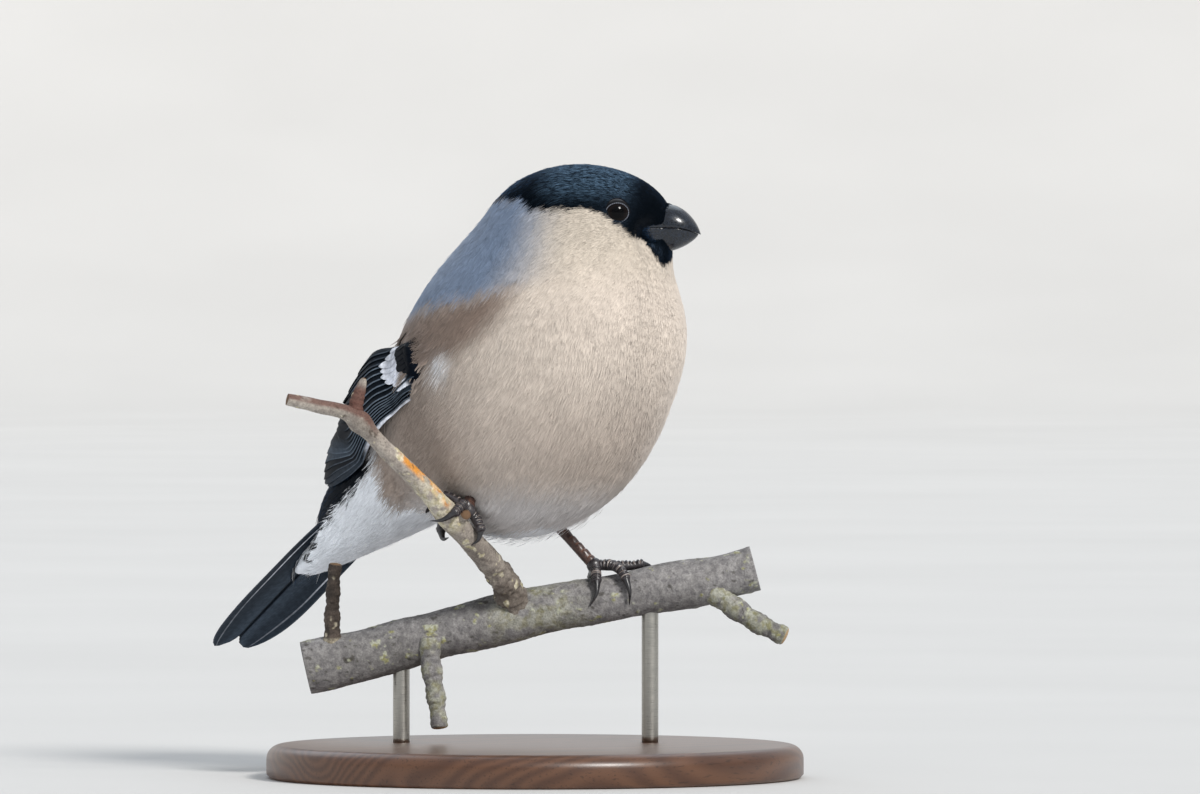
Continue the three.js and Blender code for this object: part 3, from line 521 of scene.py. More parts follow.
# A feather whose tip would lie over the bare wing is left out. Before the wing the limit is ragged,
# so single barbs of the shoulder lie over its black coverts.
from_tip, up = wing_place(roots + lie * (0.85 * feather_length)[:, None])
overlap = random.uniform(-0.5, 4.0, FEATHERS)
at_front = 1.1 * np.maximum(overlap, 0) * ease(from_tip, 48, 55)
over_wing = wing_margin(from_tip + overlap, up - at_front) + random.uniform(-0.6, 0.6, FEATHERS) > 0
keep = ~(over_wing & (from_tip > 12))
# The vent's feathers lie under the tail, and none of them grows through it.
from_root = roots + lie * (0.9 * feather_length)[:, None] - TAIL_ROOT
too_high = from_root @ TAIL_UP > -2.4 - 1.6 * (np.abs(from_root[:, 0]) < 7)
keep &= ~((np.cos(root_around) < 0.05) & too_high & (from_root @ TAIL_ALONG > 8))
roots, normals, lie, feather_length = (a[keep] for a in (roots, normals, lie, feather_length))
root_station, root_around = root_station[keep], root_around[keep]
print(len(roots), "feathers kept")

# %% [markdown]
# ## One feather
# A body feather is a shaft with loose barbs on both sides, each barb a hair about a tenth of a
# millimetre thick. Modelled barb by barb it breaks the light as the real coat does, which no bump
# map can do at the edge of the body. Every barb is the smallest closed tube there is: a root, one
# ring of three points and a tip, six triangles in all. The first blade of each feather is a wide
# leaf that lies under the barbs and keeps the coat dense.

# %% Barbs of all feathers
BLADES = 18
BARB_HALF = 0.060  # half a barb's thickness on a feather of 8 mm
LEAF_HALF = 0.15  # half the leaf's width, as a share of the feather's length
GOLDEN = 0.618034  # steps of the golden ratio fill the lanes evenly
# The belly's fringe: the share of barbs that lie close there and elsewhere, and how far others go.
FRINGE_CLOSE, COAT_CLOSE, FRINGE_REACH = 0.93, 0.975, 4.0


def blade_plan():
    """Each blade's start and length as shares along the feather, and its lane, -1 to 1 across."""
    order = np.arange(1, BLADES)
    lane = np.concatenate([[0.0], (order * GOLDEN % 1) * 2 - 1])
    start = np.concatenate([[0.0], mix(0.02, 0.55, order / (BLADES - 1))])
    lengths = np.concatenate([[0.8], mix(0.62, 0.42, order / (BLADES - 1))])
    return start, lengths, lane


def coat_points(width_share=0.17):
    """Points (feathers, blades, 5, 3) and the values of each blade.

    On the flat feather a blade keeps to its lane and leans a little outwards towards its tip, as
    barbs do. Each point is then dropped onto the outline along the root's normal, twice corrected,
    and raised from the skin at the root to the outline at the tip. Its normals are the body's own,
    each turned a little about the barb, because light passes through barbs and a soft coat shows
    the body's form and not three faces of every barb.
    """
    count = len(roots)
    length = feather_length
    depth = coat_depth(roots)
    start, lengths, lane = blade_plan()
    jitter = lambda low, high: random.uniform(low, high, (count, BLADES))
    along0 = start * jitter(0.7, 1.2)
    along2 = along0 + lengths * jitter(0.8, 1.2)
    across0 = lane * jitter(0.7, 1.2) * width_share * 0.8
    across2 = across0 + lane * jitter(0.1, 0.9) * width_share * 0.8
    across2 = across2 + random.normal(0, 0.02, (count, BLADES))
    across2[:, 0] = across0[:, 0] = 0
    along = np.stack([along0, mix(along0, along2, 0.55), along2], -1)
    across = np.stack([across0, mix(across0, across2, 0.6), across2], -1)
    along, across = along * length[:, None, None], across * length[:, None, None]
    sideways = np.cross(normals, lie)
    axis = roots[:, None, None] + along[..., None] * lie[:, None, None]
    axis = axis + across[..., None] * sideways[:, None, None]
    up = np.broadcast_to(normals[:, None, None], axis.shape)
    for _ in range(2):
        axis = axis - up * body_distance(axis)[..., None]
    lift = jitter(-0.03, 0.04) * np.sqrt(length / 8)[:, None]
    # A few barbs stand off the coat, more of them, and farther, under the belly.
    fringe = (roots[:, 2] < -26) & (np.abs(roots[:, 1]) < 28)
    close = np.where(fringe, FRINGE_CLOSE, COAT_CLOSE)[:, None]
    loose = random.uniform(0, 1, (count, BLADES)) > close
    strays = np.where(fringe, FRINGE_REACH, 1.0)[:, None] * (length / 8.8)[:, None]
    lift = lift + loose * jitter(0.1, 0.5) * strays
    lift[:, 0] = -0.25
    share = np.clip(along / length[:, None, None], 0, 1.2)
    height = -depth[:, None, None] * np.clip(1 - share, 0, 1) ** 1.5 + lift[..., None] * share
    from_tip, from_edge = wing_place(axis)
    on_wing = ease(wing_margin(from_tip, from_edge), -1.5, 3.0) * (from_tip > 14)
    height = height + 2.0 * on_wing  # a barb that reaches the wing lies over its coverts
    axis = axis + up * height[..., None]
    forward = unit(axis[:, :, 2] - axis[:, :, 0])
    flank = unit(np.cross(up[:, :, 1], forward))
    thick = BARB_HALF * np.sqrt(length / 8)[:, None] * jitter(0.7, 1.3)
    wide = thick.copy()
    wide[:, 0] = LEAF_HALF * length
    over = up[:, :, 1] * (0.75 * thick)[..., None]
    ring = np.stack(
        [axis[:, :, 1] + flank * wide[..., None] - over / 2,
         axis[:, :, 1] + over,
         axis[:, :, 1] - flank * wide[..., None] - over / 2], axis=2)
    tints = {
        "feather": np.broadcast_to(random.normal(0, 1, (count, 1)), (count, BLADES)),
        "strand": random.normal(0, 1, (count, BLADES)),
    }
    glint = mix(0.12, 0.30, markings(roots, root_station, root_around)["cap"])[:, None, None]
    facing = unit(outward(axis[:, :, 1]) + flank * glint * random.normal(0, 1, (count, BLADES, 1)))
    one_side, other_side = unit(facing + 0.22 * flank), unit(facing - 0.22 * flank)
    shading = np.stack([facing, one_side, facing, other_side, facing], 2)
    return axis[:, :, 0], ring, axis[:, :, 2], share, shading, tints


blade_roots, blade_rings, blade_tips, blade_share, blade_shading, tints = coat_points()
print(f"{len(roots) * BLADES * 6:,} triangles of coat, {time.time() - STARTED:.0f} s")

# %% [markdown]
# ## The plumage's colour
# Skin and feathers share one node group. It reads the markings from the mesh and lays the colours
# over one another in turn, then varies them a little from feather to feather and from barb to barb,
# and paints shade at the roots, so that the tips come out paler. It also paints the crown's gloss
# as a streaked highlight. The group gives only a colour. Other gloss stays with each material,
# because a cap shines and a breast doesn't.

# %% Helpers for nodes


def colour(code):
    """A colour named as RRGGBB on a screen, in the linear numbers that Blender works with."""
    screen = [int(code[i : i + 2], 16) / 255 for i in (0, 2, 4)]
    return [s / 12.92 if s <= 0.04045 else ((s + 0.055) / 1.055) ** 2.4 for s in screen] + [1.0]


def add_node(tree, kind, settings=None, **inputs):
    """One node, with its settings, and each input given as a value or as another node's output."""
    node = tree.nodes.new(kind)
    for key, value in (settings or {}).items():
        setattr(node, key, value)
    for key, value in inputs.items():
        socket = node.inputs[int(key[1:])] if key[0] == "_" else node.inputs[key.replace("_", " ")]
        if isinstance(value, bpy.types.NodeSocket):
            tree.links.new(value, socket)
        else:
            socket.default_value = value
    return node


def arithmetic(tree, operation, a, b=0.0, c=0.0):
    """The output of one Math node."""
    return add_node(tree, "ShaderNodeMath", {"operation": operation}, _0=a, _1=b, _2=c).outputs[0]


def mixed(tree, share, a, b, blend="MIX"):
    """The output of a colour Mix node."""
    settings = {"data_type": "RGBA", "blend_type": blend}
    return add_node(tree, "ShaderNodeMix", settings, _0=share, _6=a, _7=b).outputs[2]


def layered(tree, shade, *layers):
    """A colour with others laid over it in turn, each given as (share, colour)."""
    for share, over in layers:
        shade = mixed(tree, share, shade, over)
    return shade


def dimmed(tree, shade, value):
    """A colour whose three channels are multiplied by one number."""
    factor = add_node(tree, "ShaderNodeCombineColor", Red=value, Green=value, Blue=value)
    return mixed(tree, 1.0, shade, factor.outputs[0], "MULTIPLY")


def attribute(tree, name):
    """A point value of the mesh as a number."""
    return add_node(tree, "ShaderNodeAttribute", {"attribute_name": name}).outputs["Fac"]


def weighed(tree, name, factor):
    """A point value of the mesh times a factor."""
    return arithmetic(tree, "MULTIPLY", attribute(tree, name), factor)


def between(tree, value, low, high, to_low=0.0, to_high=1.0):
    """A value carried from one range to another, held at the ends."""
    ranges = dict(_1=low, _2=high, _3=to_low, _4=to_high)
    return add_node(tree, "ShaderNodeMapRange", _0=value, **ranges).outputs[0]


def noise(tree, scale, detail=3.0, place=None, roughness=0.55):
    """Cloudy noise on Object coordinates, in periods per metre."""
    place = place or add_node(tree, "ShaderNodeTexCoord").outputs["Object"]
    settings = dict(Vector=place, Scale=scale, Detail=detail, Roughness=roughness)
    return add_node(tree, "ShaderNodeTexNoise", **settings).outputs["Fac"]


def stretched(tree, scale, turn=0.0):
    """Object coordinates, scaled by axis and turned about Z in degrees."""
    place = add_node(tree, "ShaderNodeTexCoord").outputs["Object"]
    node = add_node(tree, "ShaderNodeMapping", Vector=place, Scale=scale)
    node.inputs["Rotation"].default_value[2] = math.radians(turn)
    return node.outputs[0]


def bumped(tree, height, strength, distance):
    """The normal that a height bends, its distance in metres."""
    node = add_node(tree, "ShaderNodeBump", Height=height, Strength=strength, Distance=distance)
    return node.outputs[0]


def new_group(name, inputs, outputs):
    """A shader node group with named sockets, and its input and output nodes."""
    tree = bpy.data.node_groups.new(name, "ShaderNodeTree")
    for direction, sockets in (("INPUT", inputs), ("OUTPUT", outputs)):
        for socket, kind in sockets.items():
            tree.interface.new_socket(socket, in_out=direction, socket_type="NodeSocket" + kind)
    given, wanted = tree.nodes.new("NodeGroupInput"), tree.nodes.new("NodeGroupOutput")
    return tree, given.outputs, wanted.inputs


def group_outputs(tree, group, colours):
    """The outputs of one node of a group, whose colours are given by name."""
    node = add_node(tree, "ShaderNodeGroup", {"node_tree": group})
    for key, code in colours.items():
        node.inputs[key].default_value = colour(code)
    return node.outputs


def new_material(name, **constants):
    """A material with its Principled shader, whose plain constants are set on its own sockets."""
    material = bpy.data.materials.new(name)
    material.use_nodes = True
    shader = material.node_tree.nodes["Principled BSDF"]
    for key, value in constants.items():
        shader.inputs[key.replace("_", " ")].default_value = value
    return material, material.node_tree, shader


def wire(tree, shader, **outputs):
    """Links each output to the shader's input of that name."""
    for key, output in outputs.items():
        tree.links.new(output, shader.inputs[key.replace("_", " ")])


# %% The plumage group
PLUMAGE_COLOURS = {
    "Breast": "d5c9bd",
    # Flank: the belly's own greyer buff, coloured darker towards the bottom as painted shade of the
    # underside.
    "Flank": "b9aca1",
    # Face: the cheeks' own cream, coloured darker than the breast as painted shade under the bill
    # and chin.
    "Face": "ccc1b3",
    # Nape: its own blue-grey, painted darker and bluer as the cool shade of the side away from the
    # key light.
    "Nape": "7a8ba4",
    "Mantle": "88776c",
    "White": "f2f5fa",
    "Cap": "020406",
    # A painted highlight: the blue of the crown's gloss, laid into the colour.
    "Crown": "5d7891",
}


def plumage_group():
    """Colours laid over one another by the markings, with a painted highlight on the crown and
    painted shade at the roots, then varied by feather, barb and place.
    """
    inputs = dict.fromkeys(PLUMAGE_COLOURS, "Color")
    tree, given, wanted = new_group("Plumage", inputs, {"Color": "Color"})
    shade = given["Breast"]
    for name in ("Flank", "Face", "Nape", "Mantle", "White", "Cap"):
        shade = mixed(tree, attribute(tree, name.lower()), shade, given[name])
    # Painted highlight: the crown's gloss is painted into the colour, lighter barb by barb in
    # streaks.
    highlight_streaks = between(tree, attribute(tree, "strand"), -0.6, 1.2)  # the crown's gloss has streaks
    shade = mixed(tree, weighed(tree, "crown", highlight_streaks), shade, given["Crown"])
    by_feather = weighed(tree, "feather", 0.02)
    by_strand = arithmetic(tree, "MULTIPLY_ADD", attribute(tree, "strand"), 0.06, by_feather)
    by_place = between(tree, noise(tree, 160, 2.0), 0.3, 0.7, 0.94, 1.06)
    # Painted shade: each barb is coloured darker towards its root, where the feathers over it shade
    # it.
    along = between(tree, attribute(tree, "share"), 0.2, 1.0, 0.93, 1.02)
    value = arithmetic(tree, "MULTIPLY", arithmetic(tree, "MULTIPLY", by_place, along),
                       arithmetic(tree, "ADD", by_strand, 1.0))
    tree.links.new(dimmed(tree, shade, value), wanted["Color"])
    return tree


PLUMAGE = plumage_group()


def plumage_material(name, **constants):
    """A material of the plumage: the shared colour, with its own gloss."""
    material, tree, shader = new_material(name, **constants)
    wire(tree, shader, Base_Color=group_outputs(tree, PLUMAGE, PLUMAGE_COLOURS)["Color"])
    return material


soft = dict(Roughness=0.8, Specular_IOR_Level=0.15, Sheen_Weight=0.2, Sheen_Roughness=0.5)
glossy = dict(Roughness=0.38, Specular_IOR_Level=0.14, Specular_Tint=colour("9fc2ee"),
              Sheen_Weight=0.15, Sheen_Roughness=0.3, Sheen_Tint=colour("6f9fdc"))
COAT_SLOTS = {"cap": "cap_plumage", "nape": "grey_plumage", "mantle": "grey_plumage",
              "white": "white_plumage", "buff": "buff_plumage"}
COAT_MATERIALS = {
    name: (plumage_material(f"{name} feathers", **(glossy if name == "cap" else soft)), slot)
    for name, slot in COAT_SLOTS.items()}

# %% [markdown]
# ## The coat as pieces
# A piece should stay under 200,000 triangles, so the coat is parted by marking, and the large buff
# part again by place. Each feather takes its marking where its tip lies, which keeps the cap's edge
# as crisp and slightly ragged as a real one. Its patch on the OFBake map is 3 thousandths across.

# %% Coat pieces
MOST_FEATHERS = 1800  # in one piece
SEEN_FROM = 0.7  # a feather shows from this share of its length on
EDGE_WANDER = 0.14  # how far a marking's edge strays from feather to feather
PATCH_HALF = 0.0015


def coat_values(points, station, around):
    """All point values that the plumage group reads, except those of single barbs."""
    values = markings(points, station, around)
    # Greyer and darker towards the bottom: partly the belly's own tone, partly painted shade of the
    # underside.
    values["flank"] = 1 - ease(points[..., 2] - 0.25 * points[..., 1], -14, 14)
    # The face mask carries painted shade under the bill and chin, as well as the cheeks' own tone.
    values["face"] = ease(points[..., 2], 14, 28)
    from_head = points - HEAD_MIDDLE
    back = from_head @ HEAD_BACK
    # Where the crown's painted highlight lies: a band on top of the cap, short of its front and
    # back.
    crown = ease(from_head @ HEAD_UP, 2.0, 7.5) * (1 - ease(back, 3, 11)) * (1 - ease(-back, 8, 13))
    values["crown"] = 0.8 * crown * values["cap"]
    return values


visible = roots + SEEN_FROM * coat_length(roots)[:, None] * lie
ragged = visible + random.normal(0, EDGE_WANDER, visible.shape)
root_values = coat_values(ragged, root_station, root_around)


def coat_group():
    """For each feather the name of the piece that it belongs to."""
    names = np.array(list(COAT_SLOTS))
    stack = np.stack([root_values[n] for n in names[:-1]] + [np.full(len(roots), 0.5)], -1)
    group = names[np.argmax(stack, axis=-1)]
    buff = group == "buff"
    band = np.digitize(root_station, np.quantile(root_station[buff], (0.2, 0.4, 0.6, 0.8)))
    return np.where(buff, np.char.add("buff ", band.astype(str)), group)


def add_coat():
    """One mesh for each group of feathers, in chunks of nearly equal size."""
    group = coat_group()
    station_angle = np.stack([(root_around / (2 * math.pi)) % 1, root_station], -1)
    corner = np.array([[0, -1], [-0.7, -0.3], [0, 0.2], [0.7, -0.3], [0, 1]]) * PATCH_HALF
    for name in np.unique(group):
        members = np.nonzero(group == name)[0]
        chunks = math.ceil(len(members) / MOST_FEATHERS)
        for part, chosen in enumerate(np.array_split(members, chunks)):
            ring = blade_rings[chosen].reshape(-1, 1, 3, 3)
            start, end = (b[chosen].reshape(-1, 3) for b in (blade_roots, blade_tips))
            shape = tubes(ring, start, end)
            values = {k: np.repeat(v[chosen], BLADES * 5) for k, v in root_values.items()}
            for k, v in tints.items():
                values[k] = np.repeat(v[chosen].ravel(), 5)
            share = blade_share[chosen][..., [0, 1, 1, 1, 2]]
            values["share"] = share.reshape(-1)
            patch = station_angle[chosen][:, None, None] + corner
            patch = np.broadcast_to(patch, (len(chosen), BLADES, 5, 2))
            base = name.split()[0]
            material, slot = COAT_MATERIALS[base]
            title = f"feathers_{name.replace(' ', '_')}_{part}"
            add_piece(title, shape, material, slot, values, patch.reshape(-1, 2),
                      normals=blade_shading[chosen].reshape(-1, 3))


add_coat()

# %% [markdown]
# ## The skin
# Under the coat lies one closed skin for head, neck, trunk and tail coverts, so that no seam of the
# solids shows through. It follows the outline at the coat's depth, and its hue is the coat's.

# %% Skin


def skin_shape(rows=220, sides=200):
    """The map's grid sunk by the coat's depth, as one tube from the undertail to the crown."""
    station = np.linspace(0, 1, rows + 2)[1:-1]
    around = np.linspace(-math.pi, math.pi, sides, endpoint=False)
    station, around = np.meshgrid(station, around, indexing="ij")
    surface = outline(station, around)
    sunk = surface - outward(surface) * coat_depth(surface)[..., None]
    values = coat_values(surface, station, around)
    # Where a wing lies bare no coat covers the skin. There the skin takes the cap's black: painted
    # shade, so that what shows between two vanes is dark.
    values["cap"] = np.maximum(values["cap"], ease(wing_margin(*wing_place(surface)), -0.6, 0.4))
    padded = {k: with_ends(v) for k, v in values.items()}
    # The skin is coloured as a barb at 0.45 of its length, a little darker: painted shade under the
    # coat.
    for name, constant in (("feather", 0.0), ("strand", 0.0), ("share", 0.45)):
        padded[name] = np.full(rows * sides + 2, constant)
    return tube(sunk), padded


shape, values = skin_shape()
add_piece("skin", shape, *COAT_MATERIALS["buff"], values,
          replaces=("head", "neck", "torso", "tail_coverts"))

# %% [markdown]
# ## Flight feathers
# A folded wing is a pack of stiff vanes. The outer ones lie lowest and each further in lies over
# the one before it, like shingles, so only their edges show. Here a vane is a tube whose rings are
# pressed flat, and its height over the wing's surface says where it lies in the pack. The primaries
# are bunched under the secondaries and fan out behind them. Pale tips of the greater coverts make
# the bar, and the glossy median coverts cover their roots.

# %% Vanes of the wing
VANE_THICKNESS = 0.16
SHAFT_AT = 0.42  # the shaft's place across a vane, nearer its outer edge
WING_TIER = 0.34  # from one vane to the next over it
LOWEST_VANE_UP = 0.6  # of the first one's middle, from the wing's lower edge
GREATER_FIRST, GREATER_SPACING = 3.4, 1.42  # the greater coverts, up from the wing's lower edge
PRIMARIES, SECONDARIES, TERTIALS = 8, 6, 3
ROWS, SIDES = 30, 22


def vane_outline(q, round_from=0.74):
    """Half width of a vane by its length: half at the root, full by a third, round at the tip."""
    past = np.clip((q - round_from) / (1 - round_from), 0, 0.995)
    return mix(0.5, 1, ease(q, 0, 0.35)) * np.sqrt(1 - past * past)


def flat_ring(q, ridge=0.10):
    """Across (-1 to 1) and height of a vane's section: two faces and a ridge for the shaft."""
    turn = np.linspace(0, 2 * math.pi, SIDES, endpoint=False)
    across, face = np.cos(turn), np.clip(2.5 * np.sin(turn), -1, 1)
    across = np.sign(across) * (1 - (1 - np.abs(across)) ** 1.25)
    shaft = ridge * np.exp(-(((across - SHAFT_AT) / 0.09) ** 2)) * (face > 0)
    thick = VANE_THICKNESS * mix(1.0, 0.45, ease(q, 0.7, 1))
    height = 0.5 * thick[:, None] * face + shaft * (1 - q[:, None])
    return np.broadcast_to(across, (len(q), SIDES)), height


def primary_spacing(from_tip):
    """Between the middles of two primaries, less towards their tips' fan."""
    return mix(1.30, 0.62, ease(from_tip, 18, 36))


def inner_spacing(from_tip):
    """Between the middles of two secondaries or tertials."""
    return mix(1.75, 1.42, ease(from_tip, 25, 50))


def vane_up(index, from_tip):
    """Where a flight feather's middle runs, up from the wing's lower edge."""
    outer = np.minimum(index, PRIMARIES - 0.5) * primary_spacing(from_tip)
    inner = np.maximum(index - PRIMARIES + 0.5, 0) * inner_spacing(from_tip)
    return LOWEST_VANE_UP + outer + inner


def vane_index(up, from_tip):
    """The index whose middle would run there: the reverse of vane_up."""
    outer = (PRIMARIES - 0.5) * primary_spacing(from_tip)
    past = np.maximum(up - LOWEST_VANE_UP - outer, 0) / inner_spacing(from_tip)
    return np.clip(up - LOWEST_VANE_UP, None, outer) / primary_spacing(from_tip) + past


def vane(side, index, root, tip, half_width, up_at, tier_at, ridge=0.10):
    """One closed vane of a wing, and its values: along, across, index and distance from the tip."""
    q = np.linspace(0, 1, ROWS)
    across, height = flat_ring(q, ridge)
    from_tip = np.broadcast_to(mix(root, tip, q)[:, None], across.shape)
    wide = (half_width * vane_outline(q))[:, None]
    up = up_at(from_tip) - across * wide
    rings = wing_surface(side, from_tip, up, np.maximum(tier_at(from_tip, up), 0.12) + height)
    return tube(rings), {
        "along": with_ends(np.broadcast_to(q[:, None], across.shape)),
        "across": with_ends(across),
        "row": np.full(ROWS * SIDES + 2, float(index)),
        "length": with_ends(from_tip),
    }


def flight_vane(side, index):
    """A primary, secondary or tertial, told apart by its index."""
    past = index - 2.0
    if index < PRIMARIES:
        tip = WING_TIP + 0.5 + (past**2 if past < 0 else 0.62 * past**2 + 1.1 * past)
        half_width = mix(1.9, 2.6, index / PRIMARIES)
    elif index < PRIMARIES + SECONDARIES:
        tip, half_width = 27 + 0.9 * (index - PRIMARIES), 2.9
    else:
        tip, half_width = 23.5 + 6.5 * (index - PRIMARIES - SECONDARIES), 3.6
    up_at = lambda from_tip: vane_up(index, from_tip)
    tier_at = lambda from_tip, up: 0.5 + WING_TIER * (index - vane_index(up, from_tip))
    return vane(side, index, 62, tip, half_width, up_at, tier_at)


def covert_vane(side, index, first_up, spacing, root, tip, half_width, over, tier=WING_TIER):
    """A covert of one row, its tier counted inside the row."""
    middle = first_up + index * spacing
    up_at = lambda from_tip: np.full(from_tip.shape, middle)
    tier_at = lambda from_tip, up: (
        mix(0.3, over, ease(root - from_tip, 0, 5)) + tier * (index - (up - first_up) / spacing))
    return vane(side, index, root, tip, half_width, up_at, tier_at, ridge=0.02)


def wing_rows(side):
    """The wing's rows of feathers, each a list of vanes."""
    flight = [flight_vane(side, i) for i in range(PRIMARIES + SECONDARIES + TERTIALS)]
    primary = [covert_vane(side, i, 2.3, 0.9, 64, 47.5 + 2.2 * i, 1.3, 1.25) for i in range(4)]
    wobble = lambda i: 0.3 * math.sin(2.4 * i + side)
    greater_tip = lambda up: np.interp(
        up, (2.5, 3.9, 6, 8, 10, 11.8, 13.3, 14.8, 17),
        (54, 52.7, 50.5, 49.4, 49.4, 50.3, 51.8, 54, 56))
    median_tip = lambda up: np.interp(up, (3.6, 4.6, 6.6, 12.6, 16), (60, 59, 55.3, 54.6, 55))
    greater = [
        covert_vane(side, i, GREATER_FIRST, GREATER_SPACING, 66,
                    greater_tip(GREATER_FIRST + i * GREATER_SPACING) + wobble(i), 1.5, 1.5, 0.22)
        for i in range(12)]
    median = [
        covert_vane(side, i, 3.4, 1.2, 69, median_tip(3.4 + 1.2 * i) + wobble(i + 2),
                    1.9, 1.9, 0.10)
        for i in range(13)]
    lesser = [covert_vane(side, i, 4.4, 1.5, 71, 59 + wobble(i), 1.9, 2.1, 0.06) for i in range(9)]
    return {"flight": flight, "primary_coverts": primary, "greater": greater,
            "median": median, "lesser": lesser}


# %% [markdown]
# ## The finish of stiff feathers
# Flight feathers are black with a blue gloss, a little brown where they are worn. Their outer edges
# are ash grey, which draws the fine parallel lines on the closed wing. Such a line is thinner than
# the faces of a vane, so the material draws it from the coordinate across the vane, and the mesh
# only says how strong it is. Barbs run slantwise from the shaft, too fine to model one by one here,
# so a wave across the vane's own coordinates gives them.

# %% Material of stiff feathers
STIFF_COLOURS = {"Black": "05070b", "Slate": "3a434d", "Edge": "66717d", "Pale": "e3e6ef"}


def stiff_group():
    """Black, slate by 'web', an ash grey edge line by 'grey', a pale shaft line by 'shaft' and
    white by 'pale', all streaked along the barbs."""
    inputs = dict.fromkeys(STIFF_COLOURS, "Color")
    tree, given, wanted = new_group("Stiff feather", inputs, {"Color": "Color", "Barbs": "Float"})
    across = attribute(tree, "across")
    slant = arithmetic(tree, "ABSOLUTE", arithmetic(tree, "SUBTRACT", across, SHAFT_AT))
    phase = arithmetic(tree, "MULTIPLY_ADD", attribute(tree, "length"), 16.0,
                       arithmetic(tree, "MULTIPLY", slant, 26.0))
    barbs = between(tree, arithmetic(tree, "SINE", phase), -1, 1)
    worn = between(tree, noise(tree, 900, 2.0), 0.35, 0.7, 0.75, 1.6)
    edge = weighed(tree, "grey", between(tree, across, 0.86, 0.93))
    shaft = weighed(tree, "shaft", between(tree, slant, 0.03, 0.075, 1.0, 0.0))
    shade = layered(tree, given["Black"], (attribute(tree, "web"), given["Slate"]),
                    (edge, given["Edge"]), (shaft, given["Pale"]),
                    (attribute(tree, "pale"), given["Pale"]))
    value = arithmetic(tree, "MULTIPLY", worn, between(tree, barbs, 0, 1, 0.82, 1.1))
    tree.links.new(mixed(tree, 0.6, shade, dimmed(tree, shade, value)), wanted["Color"])
    tree.links.new(barbs, wanted["Barbs"])
    return tree


STIFF = stiff_group()


def stiff_material(name, bump, **constants):
    """A material of stiff feathers: the group's colour, and its barbs as a fine bump."""
    material, tree, shader = new_material(name, **constants)
    group = group_outputs(tree, STIFF, STIFF_COLOURS)
    relief = bumped(tree, group["Barbs"], bump, 0.00004)
    wire(tree, shader, Base_Color=group["Color"], Normal=relief)
    return material


FLIGHT_MATERIAL = stiff_material("flight feathers", 0.4, Roughness=0.6, Specular_IOR_Level=0.08,
                                 Specular_Tint=colour("a8c8ff"))


def wing_marks(row, values):
    """How strong slate web, grey edge and white are on one vane, by its row."""
    across, from_tip, index = values["across"], values["length"], values["row"]
    marks = {key: 0.0 * across for key in ("web", "grey", "pale")}
    if row == "flight":
        secondary = (index >= PRIMARIES) & (index < PRIMARIES + SECONDARIES)
        primary = index < PRIMARIES
        grey = np.where(secondary, 0.8, np.where(primary, 0.7, 0.25))
        marks["grey"] += grey * (1 - ease(values["along"], 0.7, 0.9))
        marks["grey"] *= mix(0.5, 1.0, ease(from_tip, 28, 38))
        # The slate on the primaries towards their tips is partly their own paler webs and partly a
        # painted blue sheen.
        strength = np.interp(index, np.arange(8), (0.4, 0.35, 0.0, 0.05, 0.8, 0.9, 0.5, 0.3))
        web = strength * ease(across, -0.3, 0.5) * (1 - ease(from_tip, 30, 36))
        marks["web"] += np.where(primary, web, 0.05)
        # The white edge of the first one.
        line = ease(from_tip, 34, 40) * (1 - 0.4 * ease(from_tip, 51, 54))
        line = line * (1 - ease(from_tip, 57, 61))
        marks["pale"] += (index < 1) * ease(across, 0.45, 0.75) * line * 0.85
    elif row == "greater":
        up = GREATER_FIRST + index * GREATER_SPACING
        white = mix(1.0, 0.66, ease(up, 6, 12)) * (1 - ease(up, 14, 15.5))
        marks["pale"] += (1 - ease(from_tip, 56.5, 58.5)) * white
        marks["grey"] += 0.5 * (1 - white)
    elif row == "primary_coverts":
        marks["grey"] += 0.5
        marks["web"] += 0.3
    return marks


def gathered(vanes):
    """Several (shape, values) as one shape and one set of values."""
    shape = together([s for s, _ in vanes])
    return shape, {k: np.concatenate([v[k] for _, v in vanes]) for k in vanes[0][1]}


def add_wing(side, name):
    """Every row of one wing in one piece, which replaces that wing's solid."""
    vanes = []
    for row, members in wing_rows(side).items():
        for shape, values in members:
            vanes.append((shape, {**values, **wing_marks(row, values)}))
    shape, values = gathered(vanes)
    add_piece(f"{name}_feathers", shape, FLIGHT_MATERIAL, "flight_feather", values,
              replaces=(name,))


add_wing(1, "wing_left")
add_wing(-1, "wing_right")

# %% [markdown]
# ## The tail
# Twelve feathers lie in a low roof, the middle pair on top and the outer pair lowest and longest,
# which gives the shallow fork. Seen from below the tail is slate grey with pale shafts. Its root is
# hidden by the long black coverts above and the white ones below.

# %% Tail feathers
TAIL_LENGTH, TAIL_HALF_WIDTH, TAIL_PAIRS, TAIL_TIER = 60.8, 9.9, 6, 0.34
TAIL_ROLL = math.radians(5)


def tail_surface(along, left, height):
    """A point by its distance along the tail, across it and over it, rolled by 5 degrees."""
    roll = (TAIL_ROLL * ease(along, 0, 20))[..., None]
    over = TAIL_UP * np.cos(roll) + TAIL_LEFT * np.sin(roll)
    across = TAIL_LEFT * np.cos(roll) - TAIL_UP * np.sin(roll)
    middle = TAIL_ROOT + TAIL_ALONG * along[..., None]
    return middle + across * left[..., None] + over * height[..., None]


